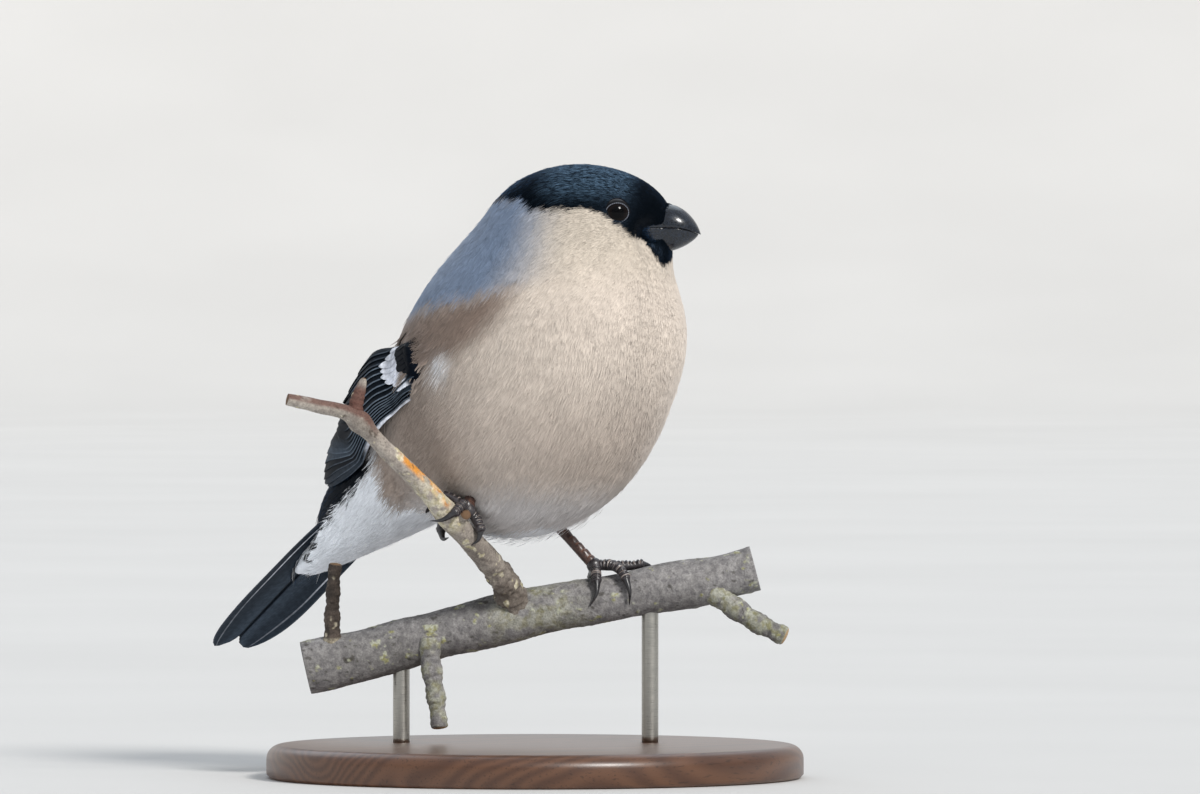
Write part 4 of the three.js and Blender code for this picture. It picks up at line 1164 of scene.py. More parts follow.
def tail_vane(side, pair):
    """One tail feather on the tail's own surface. Its inner web is wide and ends square, its outer
    web is narrow and rounds off slowly, so its tip lies towards the tail's middle."""
    q = np.linspace(0, 1, 48)
    across, height = flat_ring(q)
    length = TAIL_LENGTH - 0.45 * (TAIL_PAIRS - 1 - pair)
    inner_edge = np.sqrt(1 - np.clip((q - 0.93) / 0.07, 0, 0.99) ** 2)[:, None]
    outer_edge = np.sqrt(1 - np.clip((q - 0.70) / 0.30, 0, 0.99) ** 2.2)[:, None]
    outer = TAIL_HALF_WIDTH - 0.75 * (TAIL_PAIRS - 1 - pair)
    outer = outer * mix(0.66, 1, ease(q, 0, 0.5))[:, None]
    middle = mix(0.2, outer, (0.62 - 0.24 * ease(q, 0.7, 1))[:, None])
    wide = np.where(across < 0, (middle - 0.2) * inner_edge, (outer - middle) * outer_edge)
    left = middle + wide * across
    along = np.broadcast_to(mix(-3, length, q)[:, None], left.shape)
    droop = -0.012 * left * left - TAIL_TIER * pair - 0.9 * q[:, None] ** 2 * (pair / TAIL_PAIRS)
    rings = tail_surface(along, side * left, droop + height)
    values = {"across": with_ends(across), "length": with_ends(along)}
    for key, constant in (("row", float(pair)), ("grey", 0.25), ("pale", 0.0)):
        values[key] = np.full(left.size + 2, constant)
    rim = 1 - ease(np.abs(values["across"]), 0.92, 0.99)  # the edges are black again
    values["web"] = (0.45 + 0.45 * ease(-values["across"], 0.1, 0.75)) * rim
    fading = 1 - 0.8 * ease(with_ends(q[:, None] + 0 * left), 0.5, 0.8)
    values["shaft"] = (pair == TAIL_PAIRS - 1) * fading * 0.9
    return tube(rings), values


tail_vanes = [tail_vane(side, pair) for pair in range(TAIL_PAIRS) for side in (-1, 1)]
shape, values = gathered(tail_vanes)
add_piece("tail_feathers", shape, FLIGHT_MATERIAL, "flight_feather", values, replaces=("tail",))

# %% [markdown]
# ## The bill
# A bullfinch's bill is short, deep and swollen, made to husk buds. Each half is lofted through
# sections that are half an ellipse over the cutting edge. The culmen falls like a quarter of an
# ellipse, and the cutting edge has a slight angle near the gape.

# %% Bill
BILL_LENGTH, BILL_HALF_WIDTH, BILL_TIP_UP = 7.45, 4.4, -3.5
GAPE_FLARE = 0.62  # how fast the bill broadens behind the face's front, under the feathers


def bill_half(upper, length, rows=44, arc_sides=30, floor_sides=10):
    """Rings of one half: an arc over the cutting edge and a slightly hollow floor under it."""
    q = np.sin(np.linspace(0, math.pi / 2, rows))
    ahead = mix(-4.0, length, q)
    share = np.clip(ahead / length, 0, 1)
    edge = BILL_TIP_UP + 1.5 * (1 - share**3) + (0.0 if upper else 0.12)
    if upper:
        ridge = BILL_TIP_UP + 6.4 * (1 - share**2.1) ** 0.72
        ridge = np.maximum(ridge, edge + 0.25)
    else:
        ridge = np.minimum(BILL_TIP_UP - 3.6 * (1 - share**1.6) ** 0.75, edge - 0.25)
    wide = np.maximum(BILL_HALF_WIDTH * (1.0 if upper else 0.94) * (1 - share**2.2) ** 0.62, 0.2)
    wide = wide + GAPE_FLARE * np.maximum(-ahead, 0)
    arc = np.linspace(0, math.pi, arc_sides)
    back = np.linspace(-1, 1, floor_sides + 2)[1:-1]
    swell = 1 + 0.05 * np.sin(math.pi * np.clip(share, 0, 1))[:, None] * np.abs(np.sin(2 * arc))
    across = np.concatenate([np.cos(arc) * swell * wide[:, None], back * wide[:, None]], axis=1)
    rise = np.concatenate([np.sin(arc), 0.05 * (1 - back**2)]) * np.ones((rows, 1))
    up = edge[:, None] + (ridge - edge)[:, None] * rise
    local = np.stack([across, np.broadcast_to(ahead[:, None], across.shape), up], -1)
    return on_head(local[..., 0:1], local[..., 1:2], local[..., 2:3])


def horn_material():
    """Blue-black horn: smooth and waxy, faintly streaked along the bill."""
    material, tree, shader = new_material("bill horn", Specular_IOR_Level=0.45, Coat_Weight=0.3,
                                          Coat_Roughness=0.10)
    streaks = noise(tree, 700, 3.0, stretched(tree, (3.0, 0.7, 3.0), -HEAD_TURN))
    shade = mixed(tree, between(tree, streaks, 0.3, 0.75), colour("04070c"), colour("141e2b"))
    wire(tree, shader, Base_Color=shade, Normal=bumped(tree, streaks, 0.25, 0.0001),
         Roughness=between(tree, streaks, 0.3, 0.7, 0.20, 0.34))
    return material


HORN = horn_material()
for name, upper, shorter in (("bill_upper", True, 0.0), ("bill_lower", False, 0.5)):
    shape = tube(bill_half(upper, BILL_LENGTH - shorter))
    add_piece(name + "_horn", shape, HORN, "bill_horn", replaces=(name,))

# %% [markdown]
# ## Bristles at the bill's root
# Short black bristles grow forward over the nostrils and the chin, and hide the seam between
# feathers and horn. They reach farthest along the culmen and not at all at the gape. Each is a
# barb like those of the coat.

# %% Bristles
BRISTLES = 900


def bristle_points():
    """Root, ring and tip of each. On the section round the bill's axis an angle gives its place,
    and its tip lies ahead by a limit that falls from the culmen to the gape."""
    angle = random.uniform(0, 2 * math.pi, BRISTLES)
    ridge = np.abs(np.sin(angle))
    limit = np.where(np.sin(angle) > 0, mix(-3.0, 1.5, ridge**1.2), mix(-3.0, 0.9, ridge**1.5))
    tip = limit + random.normal(0, 0.3, BRISTLES)
    root = tip - random.uniform(1.6, 2.6, BRISTLES)
    lean = random.normal(0, 0.12, BRISTLES)

    def at(ahead, turn, height):
        wide = BILL_HALF_WIDTH + GAPE_FLARE * np.maximum(-ahead, 0) + height
        wide = wide - 0.10 * np.maximum(ahead, 0) ** 2
        tall = np.where(np.sin(turn) > 0, 5.0, 5.1) - 0.25 * np.maximum(ahead, 0) ** 1.6 + height
        return on_head((wide * np.cos(turn))[:, None], ahead[:, None],
                       (BILL_TIP_UP + 1.4 + tall * np.sin(turn))[:, None])

    start, end = at(root, angle, -0.1), at(tip, angle + lean, random.uniform(0.05, 0.4, BRISTLES))
    middle = at(mix(root, tip, 0.5), angle + lean / 2, 0.22 + 0 * tip)
    forward = unit(end - start)
    out = unit(middle - on_head(0, -1.0, BILL_TIP_UP + 1.4))
    side = unit(np.cross(out, forward)) * 0.055
    ring = np.stack([middle + side, middle + 0.07 * out, middle - side], axis=1)
    return start, ring[:, None], end


starts, ring, ends = bristle_points()
count = BRISTLES * 5
values = {"cap": np.ones(count), "share": np.full(count, 0.8),
          "strand": np.repeat(random.normal(0, 1, BRISTLES), 5)}
map_places = np.tile([0.5, 0.998], (count, 1)) + random.uniform(-0.001, 0.001, (count, 2))
add_piece("bill_bristles", tubes(ring, starts, ends), *COAT_MATERIALS["cap"], values, map_places)

# %% [markdown]
# ## Eyes and lids
# A finch's eye is a dark brown ball that looks black, clear and wet. A thin rim of bare lid, set
# with tiny pale grains, holds it. The ball sits as deep as the frame's, so only a cap of it shows.

# %% Eyes
EYE_RADIUS = 3.1
EYE_STANDS_OUT = 0.9
LID_HALF = (2.38, 1.98)  # half length and half height of the opening
LID_BEADS = 34


def eye_place(side):
    """The ball's middle and the direction that it looks, from where a ray leaves the head."""
    toward = unit(side * 12.56 * HEAD_LEFT - 8.63 * HEAD_BACK + 1.16 * HEAD_UP)
    surface = HEAD_MIDDLE + toward * reach(HEAD_MIDDLE[None], toward[None])[0]
    looks = unit(side * HEAD_LEFT - 0.28 * HEAD_BACK)
    return surface + looks * (EYE_STANDS_OUT - EYE_RADIUS), looks


def eye_frame(looks):
    """Two directions across the eye: forward along the head, and up."""
    ahead = unit(-HEAD_BACK - looks * dot(-HEAD_BACK, looks))
    return ahead, unit(np.cross(looks, ahead) * np.sign(np.cross(looks, ahead) @ UP))


def ball(middle, looks, radius, rows=40, sides=64):
    """A sphere as rings round the line of sight, and how far each point is from its front."""
    ahead, up = eye_frame(looks)
    polar = np.linspace(0, math.pi, rows + 2)[1:-1][:, None]
    turn = np.linspace(0, 2 * math.pi, sides, endpoint=False)
    disc = ahead * np.cos(turn)[:, None] + up * np.sin(turn)[:, None]
    rings = middle + radius * (np.cos(polar)[..., None] * looks + np.sin(polar)[..., None] * disc)
    shape = tubes(rings[None], (middle + radius * looks)[None], (middle - radius * looks)[None])
    from_front = np.concatenate([[0], np.repeat(polar[:, 0], sides), [math.pi]])
    return shape, from_front


# The lid's section: how far out from the opening, how far up from the ball, and how pale. A fine
# beaded rim, then a dark slope of skin that goes down into the plumage, then back under itself.
LID_SECTION = np.array([
    (-0.08, -0.30, 0), (-0.09, -0.04, 0), (-0.06, 0.06, 0.9), (0.0, 0.09, 1), (0.06, 0.06, 0.9),
    (0.10, 0.00, 0), (0.20, -0.10, 0), (0.34, -0.28, 0), (0.48, -0.55, 0), (0.58, -0.90, 0),
    (0.55, -1.30, 0), (0.30, -1.00, 0)])


def lid(middle, looks, turns=272):
    """An oval collar on the ball's front: the section carried round, its rim beaded by a wave."""
    ahead, up = eye_frame(looks)
    turn = np.linspace(0, 2 * math.pi, turns, endpoint=False)[:, None]
    beads = 0.5 + 0.5 * np.cos(LID_BEADS * turn)
    grow, rise, pale = LID_SECTION.T[:, None]
    rise = rise + 0.04 * beads * pale
    spread = ahead * ((LID_HALF[0] + grow) * np.cos(turn))[..., None] + up * (
        (LID_HALF[1] + grow) * np.sin(turn))[..., None]
    flat = np.hypot(LID_HALF[0] * np.cos(turn), LID_HALF[1] * np.sin(turn))
    points = middle + spread + looks * (np.sqrt(EYE_RADIUS**2 - flat**2) + rise)[..., None]
    sides = len(LID_SECTION)
    row, side = np.meshgrid(np.arange(turns), np.arange(sides), indexing="ij")
    at = lambda r, c: (r % turns) * sides + c % sides
    corners = at(row, side), at(row, side + 1), at(row + 1, side + 1), at(row + 1, side)
    wall = np.stack(corners, -1)
    return (points.reshape(-1, 3), [wall.reshape(-1, 4)]), (mix(0.15, 0.9, beads) * pale).ravel()


def eye_material():
    """Clear and wet: a black pupil in a very dark brown iris under a coat of water."""
    material, tree, shader = new_material("eye", Roughness=0.15, Specular_IOR_Level=0.05,
                                          Coat_Weight=0.3, Coat_Roughness=0.02, Coat_IOR=1.34)
    iris = between(tree, attribute(tree, "front"), 0.40, 0.50)
    fleck = between(tree, noise(tree, 1800, 2.0), 0.3, 0.7)
    brown = mixed(tree, fleck, colour("080505"), colour("0e0807"))
    wire(tree, shader, Base_Color=mixed(tree, iris, colour("020203"), brown))
    return material


def lid_material():
    """Bare dark skin with pale grains."""
    material, tree, shader = new_material("lid skin", Roughness=0.7, Specular_IOR_Level=0.15)
    shade = mixed(tree, attribute(tree, "grain"), colour("050608"), colour("8b909c"))
    wire(tree, shader, Base_Color=shade)
    return material


EYE, LID = eye_material(), lid_material()
for side, name in ((1, "eye_left"), (-1, "eye_right")):
    middle, looks = eye_place(side)
    shape, front = ball(middle, looks, EYE_RADIUS)
    add_piece(name + "_ball", shape, EYE, "eye", {"front": front}, replaces=(name,))
    shape, grain = lid(middle, looks)
    add_piece(name + "_lid", shape, LID, "leg_skin", {"grain": grain})

# %% [markdown]
# ## Curves, limbs and rough surfaces
# A branch, a toe and a claw are all limbs: a round section carried along a curve through a few
# points. The section's frame is carried along too, so that it never twists. Bark and horny skin
# then need unevenness that is in the mesh itself, because it shows on the outline. A lattice of
# random numbers, read with soft steps between its corners, gives it at any size.

# %% Limbs and lattice noise


def curve(points, q):
    """A smooth curve through the points (centripetal Catmull-Rom), at parameters q from 0 to 1."""
    p = np.asarray(points, float)
    p = np.concatenate([[2 * p[0] - p[1]], p, [2 * p[-1] - p[-2]]])
    place = np.clip(q, 0, 1) * (len(p) - 3)
    i = np.minimum(place.astype(int), len(p) - 4)
    t = (place - i)[:, None]
    a, b, c, d = (p[i + k] for k in range(4))
    root_length = lambda v: np.linalg.norm(v, axis=-1, keepdims=True) ** 0.5
    before, within, after = root_length(b - a), root_length(c - b), root_length(d - c)
    start = ((b - a) / before - (c - a) / (before + within) + (c - b) / within) * within
    end = ((c - b) / within - (d - b) / (within + after) + (d - c) / after) * within
    from_b = (2 * t**3 - 3 * t**2 + 1) * b + (t**3 - 2 * t**2 + t) * start
    return from_b + (3 * t**2 - 2 * t**3) * c + (t**3 - t**2) * end


def evenly(points, rows):
    """Places spaced evenly by length along the curve, and its directions there."""
    fine = curve(points, np.linspace(0, 1, 600))
    length = np.concatenate([[0], np.cumsum(np.linalg.norm(np.diff(fine, axis=0), axis=-1))])
    at = np.interp(np.linspace(0, length[-1], rows), length, np.linspace(0, 1, 600))
    place = curve(points, at)
    return place, unit(np.gradient(place, axis=0))


def carried_frame(ahead, first):
    """A direction across the curve at each row: the one before, less its part along the curve."""
    across = np.empty_like(ahead)
    v = first
    for i, a in enumerate(ahead):
        v = unit(v - a * (v @ a))
        across[i] = v
    return across


LATTICE_SIZE = 40
LATTICE = np.random.default_rng(5).uniform(-1, 1, (LATTICE_SIZE,) * 3)


def cloud(points, size):
    """Smooth random values from -1 to 1: corners of a lattice "size" mm apart, eased between."""
    scaled = points / size + 100.5
    cell = np.floor(scaled).astype(int)
    part = scaled - cell
    part = part * part * (3 - 2 * part)
    total = 0.0
    for corner in np.ndindex(2, 2, 2):
        share = np.prod(np.where(corner, part, 1 - part), axis=-1)
        total = total + share * LATTICE[tuple(np.moveaxis((cell + corner) % LATTICE_SIZE, -1, 0))]
    return total


def limb(points, radius_at, rows, sides, relief=None, first=UP, caps=(0.0, 0.0), faces_in=6):
    """A round limb: rings at radius_at(q) along the curve, moved out by relief(place, q, angle).

    Each end closes over its own small rings, a cut face where the cap is 0, and domed by the cap's
    share of the radius where it isn't. The last value is 0 at the pith and 1 at the rim of an end.
    """
    place, ahead = evenly(points, rows)
    q = np.linspace(0, 1, rows)
    inner = np.linspace(0, 1, faces_in + 1)[1:-1]
    at = np.concatenate([0 * inner, np.arange(rows), 0 * inner + rows - 1]).astype(int)
    share = np.concatenate([inner, np.ones(rows), inner[::-1]])
    across = carried_frame(ahead, unit(np.asarray(first, float)))[at]
    place, ahead, q = place[at], ahead[at], q[at]
    angle = np.linspace(0, 2 * math.pi, sides, endpoint=False)
    beside = np.cross(ahead, across)
    out = across[:, None] * np.cos(angle)[:, None] + beside[:, None] * np.sin(angle)[:, None]
    radius = radius_at(q)
    dome = np.zeros(len(q))
    dome[: len(inner)], dome[len(inner) + rows :] = -caps[0], caps[1]
    middle = place + ahead * (dome * radius * np.sqrt(1 - share**2))[:, None]
    rings = middle[:, None] + out * (radius * share)[:, None, None]
    if relief is not None:
        moved = relief(rings, q[:, None] + 0 * angle, angle + 0 * q[:, None])
        rings = rings + out * (moved * share[:, None] ** 3)[..., None]
    start = place[0] - ahead[0] * caps[0] * radius[0]
    end = place[-1] + ahead[-1] * caps[1] * radius[-1]
    shape = tubes(rings[None], start[None], end[None])
    spread = lambda v: np.concatenate([[0.0], np.broadcast_to(v, rings.shape[:2]).ravel(), [0.0]])
    values = {"along": q[:, None], "angle": angle, "rim": share[:, None]}
    return shape, {key: spread(value) for key, value in values.items()}


# %% [markdown]
# ## The perch
# The branch is crab apple: smooth grey bark with low lumps, small raised pores in rows across it,
# dark scars, and a crust of pale and yellowish lichen. The twig is younger, red-brown where the sun
# reaches it and worn to the orange inner bark in places. The relief below is in millimetres.

# %% Branch, twig and side shoots
BRANCH_RADIUS, TWIG_RADIUS, BRANCH_DEEP = 5.3, 2.6, 10
BRANCH_REAR, BRANCH_FRONT = -48, 46  # where it is cut


def on_perch(across, deep, up):
    """A point by its places along the branch, behind the photograph's plane, and up."""
    return np.array([(across + deep) * math.sqrt(0.5), (deep - across) * math.sqrt(0.5), up])


BRANCH_PATH = [on_perch(a, BRANCH_DEEP, z) for a, z in (
    (BRANCH_REAR, -61.5), (-36, -58.8), (-22, -55), (-8, -51.4), (4, -48.8), (14, -47.1),
    (26, -44.8), (36, -43.2), (BRANCH_FRONT, -40.6))]
TWIG_PATH = [on_perch(*place) for place in (
    (-3.7, 10.5, -50.8), (-6.4, 3.5, -43.5), (-10.2, -4, -38), (-16.7, -13.5, -30.4),
    (-22.9, -18.5, -22.9), (-31.3, -22, -14.6), (-38.1, -25, -7.8), (-44.5, -26.5, -6.1),
    (-51, -28, -4.6))]


def branch_radius(q):
    """The branch tapers by an eighth, with two waves in its thickness."""
    return BRANCH_RADIUS * (1.02 - 0.12 * q + 0.035 * np.sin(17 * q) + 0.025 * np.sin(31 * q + 1))


def twig_radius(q):
    """The twig halves towards its end, and swells as a bell curve at each node and its foot."""
    nodes = 0.14 * np.exp(-(((q - 0.45) / 0.05) ** 2)) + 0.3 * np.exp(-(((q - 0.8) / 0.03) ** 2))
    nodes = nodes + 0.3 * np.exp(-((q / 0.12) ** 2))  # it flares where it leaves the branch
    return TWIG_RADIUS * (1.12 - 0.62 * q + nodes)


def bark_relief(amount):
    """Low lumps, finer grain and raised pores, all lattice noise at different sizes."""

    def relief(points, q, angle):
        lumps = 0.22 * cloud(points, 5.5) + 0.10 * cloud(points + 31, 1.9)
        lumps = lumps + 0.05 * cloud(points, 0.8)
        pores = np.clip(cloud(points * (0.45, 0.45, 1.0) + 7, 0.9) - 0.45, 0, 1)
        return amount * (lumps + 0.3 * pores + 0.3 * np.clip(crust(points) - 0.55, 0, 0.5))

    return relief


def crust(points):
    """High where small cushions of lichen sit."""
    return cloud(points + 57, 1.7) + 0.6 * cloud(points, 0.6) + 0.25 * cloud(points + 5, 12)


def bark_values(points):
    """Where lichen crusts the bark and where pores and scars darken it."""
    dots = cloud(points * (0.6, 0.6, 1.0) + 13, 0.9) + 0.4 * cloud(points + 3, 0.4)
    scars = cloud(points * (0.6, 0.6, 1.0) + 13, 3.2) + 0.5 * cloud(points + 3, 0.7)
    return {
        "lichen": ease(crust(points), 0.60, 0.85),
        "scar": np.maximum(0.8 * ease(dots, 0.62, 0.80), ease(scars, 0.86, 1.02)),
    }


def twig_wear(points, q, angle):
    """Along the twig: sunburnt red above near its cut end, worn to orange before the bird's foot,
    crusted at that foot, and dark with old bud scars near the branch."""
    upper = ease(np.cos(angle + 0.8), 0.1, 0.6)
    patch = cloud(points, 2.6) + 0.5 * cloud(points + 9, 0.8)
    spots = 0.8 * ease(cloud(points, 0.9), -0.5, 0.1)
    return {
        "worn": upper * ease(q, 0.47, 0.50) * (1 - ease(q, 0.64, 0.68)) * ease(patch, -0.35, 0.15),
        "sun": 0.8 * upper * ease(q, 0.72, 0.80) * ease(patch, -0.8, -0.1),
        "crust": ease(q, 0.40, 0.44) * (1 - ease(q, 0.50, 0.64)) * spots,
        "old": (1 - ease(q, 0.14, 0.30)) * ease(cloud(points, 2.0), -1.2, 0.2),
    }


SHOOTS = {
    "perch_spur": ([(-42.3, -57), (-42.4, -50), (-42.1, -43.5), (-41.7, -39.8)], 8, 1.6),
    "perch_stub_low": ([(-22, -55), (-21.6, -62), (-20.6, -68), (-20, -73.5)], 6, 2.1),
    "perch_stub_end": ([(37, -45), (42, -49), (47.5, -52.5), (52, -54.6)], 8, 2.3),
}


def shoot(path, deep, radius):
    """A short side shoot, ringed by the scars of old buds."""
    points = [on_perch(a, deep - 0.4 * i, z) for i, (a, z) in enumerate(path)]
    radius_at = lambda q: radius * (1.1 - 0.3 * q + 0.08 * np.sin(21 * q))
    lumps = bark_relief(1.0)

    def relief(places, q, angle):
        rings = 0.11 * np.abs(np.sin(42 * q + 0.6 * np.sin(angle))) + 0.12 * cloud(places, 0.7)
        return 0.4 * lumps(places, q, angle) + rings - 0.05

    return limb(points, radius_at, 110, 48, relief, first=(1, 0, 0), caps=(0, 0.3))


def spur_wear(points, q, angle):
    """A pale collar of lichen round the spur's foot."""
    return {"crust": 1 - ease(q, 0.09, 0.13)}


def stub_wear(points, q, angle):
    """Lichen grows on the low stubs."""
    return {"crust": 0.6 * ease(cloud(points, 1.3), -0.5, 0.3),
            "old": 0.3 * ease(cloud(points, 0.9), 0, 0.5)}


def branch_wear(points, q, angle):
    """A thin green film of algae beside the twig's foot."""
    near = ease(q, 0.38, 0.46) * (1 - ease(q, 0.56, 0.66))
    return {"crust": 0.45 * near * ease(cloud(points, 2.2) + 0.4 * cloud(points, 0.7), -0.6, 0.4)}


def bud_wear(points, q, angle):
    """A brown bud, pale at its tip, with dark rings where scales fell."""
    ring = 0.5 + 0.5 * np.cos(44 * q)
    return {"sun": 0.9 * (1 - ease(q, 0.7, 0.95)), "old": 0.7 * ring * (1 - ease(q, 0.45, 0.6))}


def bark_piece(name, limbs, material, *wears):
    """Limbs joined into one piece that replaces the solid of that name, each with its own wear."""
    shape, values = gathered(limbs)
    values.update(bark_values(shape[0]))
    told = [wear(s[0], v["along"], v["angle"]) for (s, v), wear in zip(limbs, wears)]
    for key in ("worn", "sun", "crust", "old"):
        parts = [np.zeros(len(s[0])) for s, _ in limbs]
        for part, wear in zip(parts, told):
            part += wear.get(key, 0.0)
        values[key] = np.concatenate(parts)
    return add_piece(name + "_bark", shape, material, "bark", values, replaces=(name,))


BARK_COLOURS = ("Bark", "Ridge", "Sun", "Worn", "Lichen", "Moss", "Scar", "Wood")
GROWTH_RINGS = 46.0  # radians from the pith to the rim, about seven rings


def bark_group():
    """Grey bark, its wear, lichen, scars and a cut end with growth rings; a colour and a height."""
    inputs = dict.fromkeys(BARK_COLOURS, "Color")
    tree, given, wanted = new_group("Bark", inputs, {"Color": "Color", "Height": "Float"})
    fine, coarse, wide = noise(tree, 2600, 4.0), noise(tree, 700, 3.0), noise(tree, 90, 2.0)
    patchy = between(tree, noise(tree, 800, 1.0), 0.45, 0.6)
    hue = mixed(tree, patchy, given["Lichen"], given["Moss"])
    crusted = arithmetic(tree, "MAXIMUM", attribute(tree, "lichen"), attribute(tree, "crust"))
    shade = layered(
        tree, given["Bark"],
        (between(tree, coarse, 0.35, 0.65), given["Ridge"]),
        (between(tree, wide, 0.4, 0.75, 0.0, 0.45), given["Scar"]),
        (weighed(tree, "old", 0.55), given["Scar"]),
        (attribute(tree, "sun"), given["Sun"]),
        (attribute(tree, "worn"), given["Worn"]),
        (weighed(tree, "scar", 0.8), given["Scar"]),
        (arithmetic(tree, "MULTIPLY", crusted, 0.75), hue))
    shade = dimmed(tree, shade, between(tree, fine, 0.25, 0.75, 0.66, 1.28))
    ring = arithmetic(tree, "SINE", weighed(tree, "rim", GROWTH_RINGS))
    wood = mixed(tree, between(tree, ring, -1, 1, 0.0, 0.5), given["Wood"], given["Scar"])
    cut = arithmetic(tree, "LESS_THAN", attribute(tree, "rim"), 0.9)
    tree.links.new(mixed(tree, cut, shade, wood), wanted["Color"])
    tree.links.new(arithmetic(tree, "MULTIPLY_ADD", coarse, 1.5, fine), wanted["Height"])
    return tree


BARK = bark_group()


def bark_material(name, *codes):
    """Bark with its own colours, rough and dry, with a fine relief."""
    material, tree, shader = new_material(name, Roughness=0.85, Specular_IOR_Level=0.25)
    group = group_outputs(tree, BARK, dict(zip(BARK_COLOURS, codes)))
    relief = bumped(tree, group["Height"], 0.6, 0.0002)
    wire(tree, shader, Base_Color=group["Color"], Normal=relief)
    return material


GREY_BARK = bark_material("branch bark", "6e6c6d", "908e8d", "6d4436", "8a6a4e",
                          "aeb09c", "8f8d5c", "38352f", "b89b76")
TWIG_BARK = bark_material("twig bark", "857d76", "a59d93", "5a3a32", "c08238",
                          "d3ccb4", "b5ac86", "3a2f27", "6f5640")
SPUR_BARK = bark_material("spur bark", "37312d", "564c45", "37312d", "37312d",
                          "b1a996", "8f8674", "1c1815", "8a6f55")

branch = limb(BRANCH_PATH, branch_radius, 360, 120, bark_relief(0.7))
bark_piece("perch_branch", [branch], GREY_BARK, branch_wear)


def twig_relief(points, q, angle):
    """Bark relief, with a rough dark collar where the twig leaves the branch."""
    groove = 0.5 * np.exp(-(((q - 0.2) / 0.012) ** 2))
    collar = 0.55 * cloud(points, 1.7) + 0.3 * cloud(points, 0.7) - groove
    return bark_relief(0.55)(points, q, angle) + collar * (1 - ease(q, 0.16, 0.26))


def bud_radius(q):
    """A pointed bud, ringed by its scales."""
    return 1.75 * (1.02 - q) ** 0.35 + 0.12 * np.cos(44 * q) * (1 - q)


twig = limb(TWIG_PATH, twig_radius, 380, 72, twig_relief)
bud = limb([on_perch(-37.4, -24, -9), on_perch(-36.6, -24.5, -4.6), on_perch(-35.2, -25, -0.4)],
           bud_radius, 60, 40, bark_relief(0.5), first=(1, 0, 0), caps=(0, 0.5))
twig_stub = limb([on_perch(-16.2, -12.5, -30), on_perch(-14.4, -16.2, -28.7)],
                 lambda q: 1.4 - 0.15 * q, 20, 40, bark_relief(0.6), caps=(0, 0.6))
bark_piece("perch_twig", [twig, bud, twig_stub], TWIG_BARK, twig_wear, bud_wear)
for name, (path, deep, radius) in SHOOTS.items():
    is_spur = name == "perch_spur"
    material, wear = (SPUR_BARK, spur_wear) if is_spur else (GREY_BARK, stub_wear)
    bark_piece(name, [shoot(path, deep, radius)], material, wear)

# %% [markdown]
# ## Legs and feet
# A finch's tarsus is a thin rod with a row of large scutes in front. Each toe has smaller ones on
# its upper side, soft pads below at the joints, and a curved claw. The toes wrap round the bark: a
# place on a toe is told by where it is on the branch, its angle from the top, and its height.

# %% Legs and feet
TOE_RADIUS, TARSUS_RADIUS, PAD_RADIUS, TOUCH = 1.12, 1.15, 1.6, 0.25
TOE_SCUTE, SHANK_SCUTE = 0.85, 1.9  # from one plate to the next
TOE_LENGTH = 7.0  # of the drawn grooves, about a toe's
KNUCKLES = 6 * math.pi  # radians along a toe, three swellings


def over_bark(path, radius_at, q, angle, height):
    """A point over the bark at parameter q of the curve, at an angle from its top in degrees."""
    middle, nearby = curve(path, np.array([q, q + 1e-4]))
    ahead = unit(nearby - middle)
    near = unit(np.cross(ahead, UP))
    top = unit(np.cross(near, ahead))
    a, far = math.radians(angle), radius_at(q) + height
    return middle + top * math.cos(a) * far + near * math.sin(a) * far


# Each foot: where its pad, heel and thigh are, what it grips, and its toes as stops of
# (place on the curve, angle, height), the last two of which carry the claw.
FEET = {
    "left": (
        (12.3, 9.6, -39.9), (4.4, 12.5, -31.5), (0.5, 14, -27.5), BRANCH_PATH, branch_radius,
        ([(0.622, 20, 0.35), (0.62, 50, 0.1)],
         [(0.614, 74, 0.5), (0.592, 98, 0.1)]),
        ([(0.657, 10, 0.6), (0.676, 34, 0.4), (0.684, 56, 0.1)],
         [(0.686, 84, 0.6), (0.68, 112, 0.1)]),
        ([(0.665, -16, 0.5), (0.695, -24, 0.2), (0.722, -26, 0.1)],
         [(0.737, -38, 0.6), (0.748, -62, 0.1)]),
        ([(0.615, -32, 0.3), (0.6, -66, 0.1)],
         [(0.59, -96, 0.6), (0.585, -128, 0.1)]),
    ),
    "right": (
        (-13.9, -14.2, -27.9), (-13.2, -11, -24.5), (-12, -6.5, -17), TWIG_PATH, twig_radius,
        ([(0.42, 30, 0.4), (0.425, 70, 0.2)],
         [(0.43, 105, 0.7), (0.44, 140, 0.2)]),
        ([(0.382, 25, 0.6), (0.366, 65, 1.0), (0.36, 105, 0.6)],
         [(0.36, 140, 1), (0.37, 180, 0.6)]),
        ([(0.37, -20, 0.4), (0.348, -35, 0.2), (0.336, -75, 0.2)],
         [(0.33, -105, 0.5), (0.33, -135, 0.1)]),
        ([(0.41, -55, 0.4), (0.42, -100, 0.2)],
         [(0.425, -140, 0.9), (0.43, -185, 0.8)]),
    ),
}


def scutes(length, every, deep):
    """Plates along a limb: each rises slowly and drops at its edge, on the upper half only."""

    def relief(points, q, angle):
        phase = (q * length / every) % 1
        plate = ease(phase, 0.0, 0.75) * (1 - ease(phase, 0.86, 1.0))
        upper = ease(np.cos(angle), -0.2, 0.35)
        pads = 0.5 - 0.5 * np.cos(q * KNUCKLES)
        return deep * (plate - 0.5) * upper + 0.10 * pads * (1 - upper) * (length < 12)

    return relief


